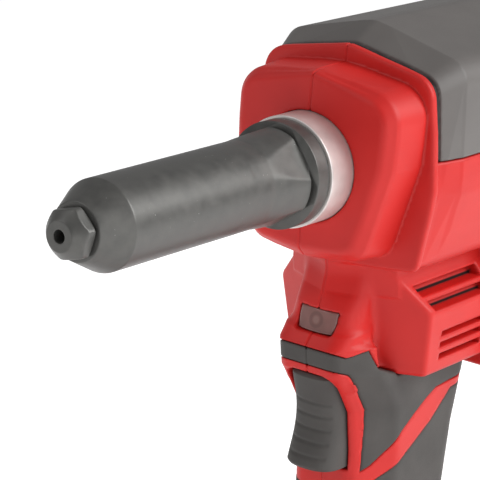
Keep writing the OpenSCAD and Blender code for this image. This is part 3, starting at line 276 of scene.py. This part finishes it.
def red(flow, at):
    grain = noise(flow, at, 5200, 2)
    cloud = noise(flow, at, 60, 2)
    # The stored attribute paints the lower floors of the vent slots near black as shade, and makes them
    # rougher.
    slot_shade = flow.node("Attribute", output=2, attribute_name="painted_shade")
    base = cloud.ramp(0.3, 0.7).mix((0.51, 0.012, 0.010, 1), (0.57, 0.016, 0.013, 1))
    return {
        "Base Color": slot_shade.mix(base, (0.012, 0.004, 0.004, 1)),
        "Roughness": grain.ramp(0.2, 0.8, 0.40, 0.54) + 0.5 * slot_shade,
        "Normal": bump(flow, grain + 0.5 * noise(flow, at, 1900, 2), 0.00004, 0.5),
    }


red_plastic = material("red_plastic", red, Specular_IOR_Level=0.32)


def polygon(u, v, points):
    """Signed distance from (u, v) to a polygon, negative inside; its points may be arrays."""
    near, inside = np.inf, False
    for (a, b), (c, d) in zip(points, points[1:] + points[:1]):
        eu, ev, wu, wv = c - a, d - b, u - a, v - b
        t = np.clip((wu * eu + wv * ev) / (eu * eu + ev * ev + 1e-9), 0, 1)
        near = np.minimum(near, (wu - eu * t) ** 2 + (wv - ev * t) ** 2)
        inside = inside ^ (((b <= v) != (d <= v)) & (wu < eu * wv / np.where(np.abs(ev) < 1e-9, 1e-9, ev)))
    return np.where(inside, -1, 1) * np.sqrt(near)


def convex(u, v, circles):
    """Signed distance to the hull of circles (u, v, radius), mirrored in v: the most that any of
    61 directions gives."""
    f = -np.inf
    for a in np.radians(np.arange(0, 180.1, 3)):
        reach = -np.inf
        for cu, cv, r in circles:
            reach = np.maximum(reach, cu * math.cos(a) + cv * math.sin(a) + r)
        f = np.maximum(f, u * math.cos(a) + np.abs(v) * math.sin(a) - reach)
    return f


def blended(first, second, t):
    """Circles part of the way from one outline to another."""
    return [tuple(a + (b - a) * t for a, b in zip(p, q)) for p, q in zip(first, second)]


def box(p, low, high):
    """Signed distance along the axes to a box."""
    first, second, third = (np.maximum(a - q, q - b) for q, a, b in zip(p, low, high))
    return np.maximum(np.maximum(first, second), third)


# Half outlines as circles (z, y, radius), from the top down.
RIM = [(25.4, 0, 8), (20.8, 21.2, 8), (-4.0, 24.3, 8), (-26.0, 26.2, 3), (-23.0, 0, 8)]
BODY = [(30.6, 0, 8), (24.4, 23.8, 8), (-6.0, 25.2, 8), (-23.0, 21.2, 8), (-23.0, 0, 8)]
BLOCK = [(20.4, 0, 8), (15.5, 17.8, 10.4), (4.0, 19.9, 8), (-19.5, 14.5, 7), (-21.6, 0, 7)]
FACE = [(22.2, 0, 5), (15.5, 17.5, 7), (4.0, 18.7, 5.5), (-17.5, 12.5, 5.5), (-18.8, 0, 5)]
HEAD_FRONT, CREST_RUN, HEAD_END = 19.1, 11, 118
RIM_SWEEP, FACE_SWEEP = 0.052, 0.03


def head(s, y, z):
    """The head behind the rim: an outline that grows from the rim to the crest, with eased ends.
    Its front is swept back a little to each side."""
    back = RIM_SWEEP * np.abs(y)
    t = np.clip((s - back - HEAD_FRONT) / CREST_RUN, 0, 1)
    side = convex(z, y, blended(RIM, BODY, t)) + 0.9 * (1 - t) + 0.35 * np.clip(s - 113, 0, 5) ** 1.6
    return soft_max(side, np.maximum(HEAD_FRONT + back - s, s - HEAD_END), 0.8)


def front_block(s, y, z):
    """The front block, whose outline opens from the flat face to the full block, and the rim behind it."""
    back = s - FACE_SWEEP * np.abs(y)
    t = np.interp(back, [0, 3.4, 4.6, 16], [0, 0.66, 0.76, 1.0]).astype(np.float32)
    nose = convex(z, y, blended(FACE, BLOCK, t))
    nose = soft_max(nose, np.maximum(-back, s - 18), 1.4)
    rim = soft_max(convex(z, y, RIM), np.abs(s - RIM_SWEEP * np.abs(y) - 17.8) - 1.5, 1.2)
    return np.minimum(nose, rim)


def swept(s, y, z):
    """Distance in front of the plane that each side of the bulge and the waist is swept back along."""
    return (8.5 + 0.5 * np.abs(y) - 0.235 * z - s) / 1.143


def bulge(s, y, z):
    """The swelling round the motor: the largest of five plane distances, with eased edges."""
    shoulder = 0.756 * (np.abs(y) - 18.3) + 0.654 * (z + 36.1) - 1
    side = 0.993 * (np.abs(y) - 27 - 0.119 * (z + 45))
    f = soft_max(soft_max(shoulder, side, 1.2), swept(s, y, z), 1.2)
    return soft_max(f, np.maximum(-z - 66, s - 77), 1.2)


def rear_block(s, y, z):
    """The block behind the bulge that reaches back to the cup: two circles a side and eased ends."""
    f = convex(z, y, [(-24.0, 23.0, 8), (-64.0, 23.0, 8)])
    return soft_max(f, np.maximum(72 - s, s - HEAD_END), 4.0)


def column_front(y, z):
    """Front of the lamp column: a ridge between two facets that lean forward, rounder from the lamp down."""
    power = 1 + 1.5 * np.clip((-40 - z) / 5, 0, 1)
    return 24.13 + 0.24 * z + (8.03 + 0.08 * z) * np.minimum(np.abs(y) / 11.8, 1.3) ** power


def column(s, y, z):
    """The lamp column between head and finger rest, with a plain foot inside the rest."""
    f = soft_max(0.9 * (column_front(y, z) - s), np.abs(y) - 11.8, 4.0)
    f = soft_max(f, np.maximum(np.maximum(s - 38, z + 25), -55 - z), 0.6)
    return np.minimum(f, box((s, y, z), (18.3, -11.5, -67.3), (34, 11.5, -49.5)))


def lamp_half(z):
    """Half the width of the lamp window, which narrows downward."""
    return 6.8 - 0.09 * (-45.4 - z)


GRIP_Z = [-146.2, -113.6, -90, -77, -70, -64.3, -55.6]
GRIP_FRONT = [23.0, 24.0, 22.0, 19.5, 14.6, 10.0, 8.2]
GRIP_REAR = [77.0, 73.0, 74.6, 77.0, 78.0, 79.0, 79.0]
GRIP_HALF = [17.1, 16.5, 16.8, 17.0, 17.2, 17.3, 16.5]
BEHIND = [(22.3, -29), (22.5, -56.4), (23.8, -62.3), (34, -65.7), (90, -65.7), (90, -29)]


def grip(s, y, z):
    """The grip: an outline of three circles a side that change with height, cut back behind the
    finger rest."""
    along = (np.interp(z, GRIP_Z, k).astype(np.float32) for k in (GRIP_FRONT, GRIP_REAR, GRIP_HALF))
    front, rear, half = along
    up = np.clip(z + 55.6, 0, 3.1)
    front, half = front + 1.06 * up, half - 1.5 * up
    f = convex(s, y, [(front + 5, 6.5, 5), (front + 17, half - 8, 8), (rear - 10, half - 10, 10)])
    f = soft_max(f, -polygon(s, z, BEHIND), 1.0)
    return soft_max(f, np.maximum(z + 52.5, -160 - z), 0.8)


def foot(s, y, z):
    """The foot: a rounded plate that narrows upward and flows into the grip."""
    up = np.clip(z + 156.7, 0, 6.5)
    plate = convex(s, y, [(2 + 0.77 * up, 27 - 0.92 * up, 9), (90 - 0.77 * up, 27 - 0.92 * up, 9)])
    return soft_max(plate, np.maximum(-164.7 - z, z + 150.2), 1.5)


# Side outlines as (s, z): the rubber sleeve, and the red stripe that crosses it.
SLEEVE = [(4.2, -56), (8.2, -56), (12.4, -57.6), (19.6, -56.0), (23.2, -61.8), (34, -65.4),
          (90, -65.4), (90, -145.2), (10, -145.2), (26.3, -98), (26.0, -88.7), (25.4, -83),
          (24.4, -76.3), (19.4, -69.4), (14.4, -63.2), (8.2, -61.3), (4.2, -61.3)]
STRIPE = [(8, -107), (29, -95.4), (34.8, -90.1), (38.7, -85.9), (45.7, -81.3), (51, -78.2),
          (56.4, -75.7), (66, -75.0), (90, -73.7), (90, -75.4), (65.3, -77.9), (55.3, -86.3),
          (44, -93.0), (8, -113.7)]


def trigger_room(s, y, z):
    """The way in for the trigger: a box with its upper corners rounded to 4 mm."""
    a, b = np.abs(y) - 4.6, z + 68.3
    f = np.hypot(np.maximum(a, 0), np.maximum(b, 0)) + np.minimum(np.maximum(a, b), 0) - 4
    return np.maximum(f, np.maximum(-96.1 - z, s - 36))


def rubber(s, y, z, grow):
    """The rubber sleeves: grip skin inside their outline and outside the red stripe, grown by grow."""
    f = np.maximum(polygon(s, z, SLEEVE) - grow, -polygon(s, z, STRIPE) - grow)
    return np.maximum(f, np.maximum(-bulge(s, y, z) - grow + 0.1, -rear_block(s, y, z) - grow + 0.1))


ROW_MIDDLE, ROW_PITCH, VENT_END, VENT_DEPTH = -56.6, 3.8, 66, 3.2


def vents(s, y, z):
    """Two long slots cut into the shoulder from the side and three low rows under it, with swept
    front ends."""
    front = swept(s, y, z)
    f = np.minimum(np.abs(z + 38.8) - 1.55, np.abs(z + 43.0) - 1.4)
    f = soft_max(f, np.maximum(front + 3.0, s - VENT_END), 0.6)
    rows = np.abs((z - ROW_MIDDLE + ROW_PITCH / 2) % ROW_PITCH - ROW_PITCH / 2) - 1.0
    rows = soft_max(rows, np.maximum(front + 6.1, s - VENT_END), 0.6)
    rows = np.maximum(rows, np.abs(z - ROW_MIDDLE) - 5.2)
    return np.maximum(np.minimum(f, rows), 14 - np.abs(y))


# Places of the housing screws as (s, z).
SCREWS = [(28, 29), (12, -22.6), (108, 28), (108, -28), (104, -61), (29, -57.6), (62, -86),
          (36, -136.2), (93, -158.1)]


def wells(s, y, z):
    """The wells that the housing screws are driven through, in the right half."""
    f = np.inf
    for a, b in SCREWS:
        f = np.minimum(f, np.hypot(s - a, z - b) - 3.4)
    return np.maximum(f, 8 - y)


def housing(s, y, z):
    """The red housing: joined forms, less the seats of cover and rubber and the openings."""
    shell, lump, hold = head(s, y, z), bulge(s, y, z), grip(s, y, z)
    waist = np.maximum(swept(s, y, z), np.abs(y) - 18.3)
    waist = np.maximum(waist, np.maximum(np.abs(z + 32.5) - 7.5, s - 82))
    f = np.minimum(soft_min(shell, rear_block(s, y, z), 2.0), front_block(s, y, z))
    f = soft_min(f, soft_min(waist, soft_min(column(s, y, z), hold, 4.0), 1.2), 1.6)
    f = soft_min(f, lump, 1.8)
    f = soft_min(f, foot(s, y, z), 6.0)
    seat = box((s - RIM_SWEEP * np.abs(y), y, z), (19.3, -60, 3.8), (102, 60, 60))
    f = np.maximum(f, -np.maximum(seat, -(shell + 2.5)))
    f = np.maximum(f, -np.maximum(rubber(s, y, z, 0.2), -(hold + 1.4)))
    f = soft_max(f, -trigger_room(s, y, z), 0.8)
    f = soft_max(f, -np.maximum(vents(s, y, z), -(lump + VENT_DEPTH)), 0.4)
    lamp = soft_max(np.abs(y) - lamp_half(z) - 0.2, np.abs(z + 48.8) - 3.6, 1.2)
    f = soft_max(f, -np.maximum(lamp, s - 16.5), 0.4)
    f = soft_max(f, -np.maximum(np.hypot(y, z) - 16.3, s - 3), 0.4)
    f = np.maximum(f, -box((s, y, z), (-30, -20.4, -170), (86, 20.4, -160.5)))
    f = np.maximum(f, -box((s, y, z), (-30, -24.4, -160.6), (86, 24.4, -155.7)))
    f = soft_max(f, -np.maximum(np.hypot(y, z) - 14.2, 112 - s), 0.4)
    return f + 0.32 * np.exp(-((y / 0.28) ** 2))


def sampled(field, axes):
    """The values of a field on a grid, a few slices at a time."""
    y, z = axes[1][None, :, None], axes[2][None, None, :]
    return np.concatenate([np.broadcast_to(field(axes[0][i : i + 16, None, None], y, z),
                                           (len(axes[0][i : i + 16]), y.size, z.size))
                           for i in range(0, len(axes[0]), 16)]).astype(np.float32)


def net(field, axes, values):
    """Surface of a field on a grid. Each grid edge that the surface crosses gives a point and a
    normal, each cell takes the point nearest to the planes of its edges, and each crossed edge
    joins four cells in a quad."""
    below, size = values < 0, np.array(values.shape) - 1
    owner, point, normal, quads = [], [], [], []
    for axis in range(3):
        u, v = (k for k in range(3) if k != axis)
        first, second = ([slice(None)] * 3 for _ in range(2))
        first[axis], second[axis] = slice(None, -1), slice(1, None)
        edge = np.argwhere(below[tuple(first)] != below[tuple(second)])
        far = edge + np.eye(3, dtype=int)[axis]
        before, after = values[tuple(edge.T)], values[tuple(far.T)]
        place = np.stack([axes[k][edge[:, k]] for k in range(3)], -1).astype(float)
        length = axes[axis][far[:, axis]] - place[:, axis]
        t = before / (before - after)
        place[:, axis] += t * length
        value = field(*place.T)
        move = np.clip(-value / (after - before), -t, 1 - t)
        place[:, axis] += move * length
        value = field(*place.T)
        slope = np.stack([field(*(place + d).T) - value for d in np.eye(3) * 0.02], -1)
        slope /= np.linalg.norm(slope, axis=-1, keepdims=True) + 1e-9
        ring, whole = [], True
        for du, dv in ((-1, -1), (0, -1), (0, 0), (-1, 0)):
            cell = edge.copy()
            cell[:, u] += du
            cell[:, v] += dv
            inside = ((cell >= 0) & (cell < size)).all(-1)
            index = np.where(inside, np.ravel_multi_index(np.clip(cell, 0, size - 1).T, size), -1)
            owner.append(index[inside])
            point.append(place[inside])
            normal.append(slope[inside])
            ring.append(index)
            whole = whole & inside
        ring = np.stack(ring, -1)
        flip = (before < 0) == (axis == 1)
        ring[flip] = ring[flip][:, ::-1]
        quads.append(ring[whole])
    cells, owner = np.unique(np.concatenate(owner), return_inverse=True)
    point, normal = np.concatenate(point), np.concatenate(normal)

    def total(weight):
        return np.bincount(owner, weight, len(cells))

    middle = np.stack([total(point[:, k]) for k in range(3)], -1) / total(None)[:, None]
    reach = (normal * (point - middle[owner])).sum(-1)
    pull = np.stack([total(normal[:, k] * reach) for k in range(3)], -1)
    square = np.stack([total(normal[:, i] * normal[:, j]) for i in range(3) for j in range(3)], -1)
    square = square.reshape(-1, 3, 3) + 0.08 * np.eye(3)
    made = middle + np.linalg.solve(square, pull[:, :, None])[:, :, 0]
    at = np.unravel_index(cells, size)
    for k in range(3):
        made[:, k] = np.clip(made[:, k], axes[k][at[k]], axes[k][at[k] + 1])
    if axes[1][0] == 0:
        made[at[1] == 0, 1] = 0
    return made, np.searchsorted(cells, np.concatenate(quads))


def span(*runs):
    """Grid lines: each run is (from, to, step)."""
    lines = np.concatenate([np.arange(a, b + d / 2, d) for a, b, d in runs])
    return np.unique(lines.round(4)).astype(np.float32)


axes = [span((-0.6, 36, 0.6), (36.8, 119.2, 1.2)), span((0, 0.6, 0.15), (1.1, 35.5, 0.7)),
        span((-166, -100, 1.5), (-99.4, 34, 0.6), (34.6, 41, 0.6))]


def store_painted_shade(made, shade):
    """Stores the painted shade of each point, from 0 for the plain finish to 1 where a sunk place is painted
    dark as shade, for the material.
    """
    kept = made.data.attributes.new("painted_shade", "FLOAT", "POINT")
    kept.data.foreach_set("value", np.clip(shade, 0, 1).astype(np.float32))


def vent_shade(s, y, z):
    """Painted shade near a slot's floor: dark in the lower part of each long slot and in the lowest row."""
    edge = np.where(z > -41.2, -39.7, np.where(z > -47, -43.8, -60.6))
    sunk = np.where(vents(s, y, z) < 0.3, (-bulge(s, y, z) - VENT_DEPTH + 0.5) / 0.3, 0)
    return sunk * np.clip((edge - z) / 0.3, 0, 1)


def drilled(s, y, z):
    """The right half, with the wells of the screws."""
    return soft_max(housing(s, y, z), -wells(s, y, z), 0.4)


plain = sampled(housing, axes)
for name, field, values, sign in (
    ("left_housing", housing, plain, -1),
    ("right_housing", drilled, soft_max(plain, -sampled(wells, axes), 0.4), 1),
):
    points, faces = net(field, axes, values)
    shade = vent_shade(*points.T)
    if sign < 0:
        points, faces = points * (1, -1, 1), faces[:, ::-1]
    made = piece(name + "_skin", points, faces, "tool", red_plastic, name)
    # Paints shade on the floors of the vent slots.
    store_painted_shade(made, shade)

# Top cover: a grey nylon shell that closes the top of the head, set behind the rim.
# A narrow gap is left round it, and a sunk lip, painted dark as shade, runs along its front edge.


def grey(flow, at):
    grain = noise(flow, at, 5200, 2)
    cloud = noise(flow, at, 70, 2)
    # The stored attribute paints the sunk front lip near black as shade.
    low = flow.node("Attribute", output=2, attribute_name="painted_shade")
    base = cloud.ramp(0.3, 0.7).mix((0.105, 0.096, 0.091, 1), (0.120, 0.110, 0.104, 1))
    return {
        "Base Color": low.mix(base, (0.012, 0.010, 0.010, 1)),
        "Roughness": grain.ramp(0.2, 0.8, 0.42, 0.56),
        "Normal": bump(flow, grain, 0.00004, 0.5),
    }


grey_plastic = material("grey_plastic", grey, Specular_IOR_Level=0.45)


def lip(s, y, z):
    """1 on the sunk lip along the cover's front edge, 0 behind it."""
    return np.clip((21.3 - s + RIM_SWEEP * np.abs(y)) / 0.3, 0, 1)


def cover(s, y, z):
    """The outer 2.3 mm of the head inside a box, less the lip."""
    shell = head(s, y, z)
    skin = np.maximum(shell + 0.8 * lip(s, y, z), -(shell + 2.3))
    edge = box((s - RIM_SWEEP * np.abs(y), y, z), (19.6, -60, 4.2), (101.6, 60, 60))
    return soft_max(skin, edge, 0.6)


axes = [span((19.2, 36, 0.45), (36.6, 105, 0.8)), span((-35, 35, 0.5)), span((3.2, 41, 0.45))]
points, faces = net(cover, axes, sampled(cover, axes))
made = piece("top_cover_skin", points, faces, "tool", grey_plastic, "top_cover")
# Paints shade on the sunk lip.
store_painted_shade(made, lip(*points.T))

# Rubber sleeves: soft dark rubber moulded over each side of the grip and round the finger rest.
# They lie flush in seats of the red plastic, with a fine matt grain.


def soft(flow, at):
    grain = noise(flow, at, 3600, 3)
    cloud = noise(flow, at, 90, 3)
    return {
        "Base Color": cloud.ramp(0.3, 0.7).mix((0.050, 0.046, 0.043, 1), (0.066, 0.061, 0.057, 1)),
        "Roughness": grain.ramp(0.2, 0.8, 0.58, 0.72),
        "Normal": bump(flow, grain, 0.00006, 0.6),
    }


dark_rubber = material("grip_rubber", soft, Specular_IOR_Level=0.35)


def sleeve(s, y, z):
    """The outer 1.5 mm of the grip inside the sleeve outline, less the way in for the trigger."""
    hold = grip(s, y, z) - 0.1
    f = soft_max(np.maximum(hold, -(hold + 1.5)), rubber(s, y, z, 0.0), 0.8)
    return np.maximum(f, -trigger_room(s, y, z)) + 0.3 * np.exp(-((y / 0.28) ** 2))


axes = [span((5, 78, 0.5)), span((0, 0.6, 0.15), (0.9, 19, 0.45)), span((-147, -51, 0.5))]
points, faces = net(sleeve, axes, sampled(sleeve, axes))
piece("right_grip_skin", points, faces, "tool", dark_rubber, "right_grip")
piece("left_grip_skin", points * (1, -1, 1), faces[:, ::-1], "tool", dark_rubber, "left_grip")

# Trigger: a moulded paddle that slides back into the grip, with five grooves across its hollow face.
# A plain band is left above the grooves, and its sides run back into the way in.
TRIGGER_HALF, TRIGGER_TOP, TRIGGER_DROP, TRIGGER_CORNER, TRIGGER_REAR = 8.3, -64.9, 30.2, 3.7, 27.0
GROOVE_TOP, GROOVE_PITCH = -74.4, 4.2
turn = np.linspace(-1, 1, 81) * np.pi / 2
down = np.linspace(0, 1, 181)[:, None]
y = TRIGGER_HALF * np.sign(turn) * np.abs(np.sin(turn)) ** 0.8 + 0 * down
past = np.clip(np.abs(y) - 4.6, 0, TRIGGER_CORNER)
corner = TRIGGER_CORNER - np.sqrt(np.clip(TRIGGER_CORNER**2 - past**2, 0, None))
z = TRIGGER_TOP - corner - (TRIGGER_DROP - corner) * down
fall = np.clip((TRIGGER_TOP - z) / TRIGGER_DROP, 0, 1)
groove = sum(np.exp(-(((z - GROOVE_TOP + GROOVE_PITCH * k) / 0.62) ** 2)) for k in range(5))
groove = groove * np.clip((0.80 - np.abs(y) / TRIGGER_HALF) / 0.10, 0, 1)
ends = 1.2 * np.clip(np.abs(fall - 0.5) * 2 - 0.93, 0, 1) / 0.07
hollow = 9.9 + 3.6 * np.sin(np.pi * fall) ** 1.2 + 1.2 * fall
s = hollow + TRIGGER_HALF * (1 - np.abs(np.cos(turn)) ** 0.75) + ends + 0.4 * groove
s = np.pad(s, ((0, 0), (1, 1)), constant_values=TRIGGER_REAR)
y, z = (np.pad(k, ((0, 0), (1, 1)), "edge") for k in (y, z))
points = np.stack([s, y, z], -1)
roof = points[0] * (0, 1, 1) + (TRIGGER_REAR, 0, 0)
points = np.concatenate([roof[None], points])
trim = material("grey_plastic", soft, Specular_IOR_Level=0.4)
piece("trigger_skin", points.reshape(-1, 3), grid_faces(182, 83), "trigger", trim, "trigger")

# Lamp window: a smoky clear moulding set flush in the column under the nose.
# The lamp's round lens shows through it as a faint ring.
LAMP_Z, LAMP_HALF_HEIGHT, LAMP_REAR = -48.8, 3.4, 16.3


def glass(flow, at):
    cloud = noise(flow, at, 200, 2)
    place = flow.node("SeparateXYZ", {0: at}, output=1), flow.node("SeparateXYZ", {0: at}, output=2) - 0.1664
    off = flow.math("SQRT", place[0] * place[0] + place[1] * place[1])
    ring = flow.math("ABSOLUTE", off - 0.0019).ramp(0.0003, 0.0007, 1.0, 0.0)
    spot = off.ramp(0.0008, 0.0012, 1.0, 0.0)
    base = cloud.ramp(0.3, 0.7).mix((0.18, 0.086, 0.076, 1), (0.22, 0.105, 0.094, 1))
    lit = (0.6 * spot).mix(base, (0.24, 0.15, 0.13, 1))
    return {"Base Color": (0.5 * ring).mix(lit, (0.10, 0.055, 0.048, 1))}


smoky = material("clear_lens", glass, Roughness=0.22, Coat_Weight=0.4)
u, v = np.meshgrid(np.linspace(-1, 1, 61), np.linspace(1, -1, 37))
z = LAMP_Z + LAMP_HALF_HEIGHT * v * np.sqrt(1 - 0.10 * u * u)
y = lamp_half(z) * u * np.sqrt(1 - 0.10 * v * v)
edge = np.clip((np.maximum(np.abs(u), np.abs(v)) - 0.9) / 0.1, 0, 1)
s = column_front(y, z) + 0.1 + 0.35 * edge**2
s, y, z = (np.pad(k, 1, "edge") for k in (s, y, z))
s[[0, -1]] = LAMP_REAR
s[:, [0, -1]] = LAMP_REAR
points = np.stack([s, y, z], -1).reshape(-1, 3)
piece("led_lens_skin", points, grid_faces(39, 63), "tool", smoky, "led_lens")

# Inner pieces and the battery: steel, alloy, bronze and moulded plastic, as the CAD has them.
# Each takes the finish of its slot in the record.


def ground(first, second, rough):
    """A builder of a finish between two colours, with grain in its roughness."""

    def build(flow, at):
        grain = noise(flow, at, 1400, 3)
        return {
            "Base Color": grain.ramp(0.3, 0.7).mix((*first, 1), (*second, 1)),
            "Roughness": grain.ramp(0.3, 0.7, rough - 0.07, rough + 0.07),
        }

    return build


finishes = {
    "red_plastic": red_plastic,
    "grey_plastic": grey_plastic,
    "grip_rubber": dark_rubber,
    "collar_metal": satin_alloy,
    "dark_steel": black_oxide,
    "clear_lens": smoky,
    "steel": material("steel", ground((0.42, 0.42, 0.43), (0.55, 0.55, 0.56), 0.32), Metallic=0.9),
    "spring_steel": material("spring_steel", ground((0.36, 0.36, 0.37), (0.46, 0.46, 0.47), 0.28),
                             Metallic=0.95),
    "cast_alloy": material("cast_alloy", ground((0.45, 0.46, 0.47), (0.56, 0.57, 0.58), 0.5), Metallic=0.8),
    "bronze": material("bronze", ground((0.46, 0.30, 0.11), (0.56, 0.38, 0.16), 0.35), Metallic=0.9),
    "blades": material("blades", ground((0.62, 0.44, 0.16), (0.70, 0.50, 0.20), 0.3), Metallic=0.9),
    "board": material("board", ground((0.03, 0.09, 0.045), (0.045, 0.12, 0.06), 0.4)),
    "black_plastic": material("black_plastic", ground((0.016, 0.016, 0.017), (0.024, 0.024, 0.025), 0.5)),
    "cells": material("cells", ground((0.05, 0.11, 0.20), (0.07, 0.14, 0.25), 0.35)),
}
for part in frame["record"]["subparts"]:
    node = frame["nodes"][part["node"]]
    node.data.materials.clear()
    node.data.materials.append(finishes[part["material_slot"]])

# Stage: a plain pale floor of paper under three soft studio lights.
# The camera stands where the photo was taken from.
bpy.ops.mesh.primitive_plane_add(size=12)
floor = bpy.context.object
floor.name = "floor"


def paper(flow, at):
    cloud = noise(flow, at, 3, 2)
    return {"Base Color": cloud.ramp(0.3, 0.7).mix((0.90, 0.90, 0.90, 1), (0.92, 0.92, 0.92, 1))}


glow = {"Emission_Color": (1, 1, 1, 1), "Emission_Strength": 0.5}
floor.data.materials.append(material("paper", paper, Roughness=0.9, **glow))
world = bpy.data.worlds.new("studio")
world.use_nodes = True
world.node_tree.nodes["Background"].inputs[0].default_value = (1, 1, 1, 1)
world.node_tree.nodes["Background"].inputs[1].default_value = 0.38
bpy.context.scene.world = world
for name, place, size, power in (
    ("key", (0.62, -1.05, 1.0), 0.9, 19.5),
    ("low", (-0.46, -1.43, 0.34), 0.9, 4.0),
    ("front", (-0.92, 0.67, 1.2), 0.9, 4.0),
):
    lamp = bpy.data.lights.new(name, "AREA")
    lamp.size, lamp.energy = size, power
    made = bpy.data.objects.new(name, lamp)
    made.location = place
    made.rotation_euler = (Vector((0, 0, 0.2)) - Vector(place)).to_track_quat("-Z", "Y").to_euler()
    bpy.context.scene.collection.objects.link(made)

lens = bpy.data.cameras.new("camera")
lens.lens, lens.sensor_width, lens.clip_start = 192.72, 36.0, 0.05
camera = bpy.data.objects.new("camera", lens)
right = (0.59015782, -0.80396202, 0.07320393)
up = (0.18578923, 0.22350416, 0.9568324)
back = (-0.7856183, -0.55108162, 0.28127022)
place = (-0.63278, -0.39116, 0.39851)
camera.matrix_world = Matrix([*zip(right, up, back, place), (0, 0, 0, 1)])
bpy.context.scene.collection.objects.link(camera)
bpy.context.scene.camera = camera
bpy.context.scene.view_settings.view_transform = "Standard"
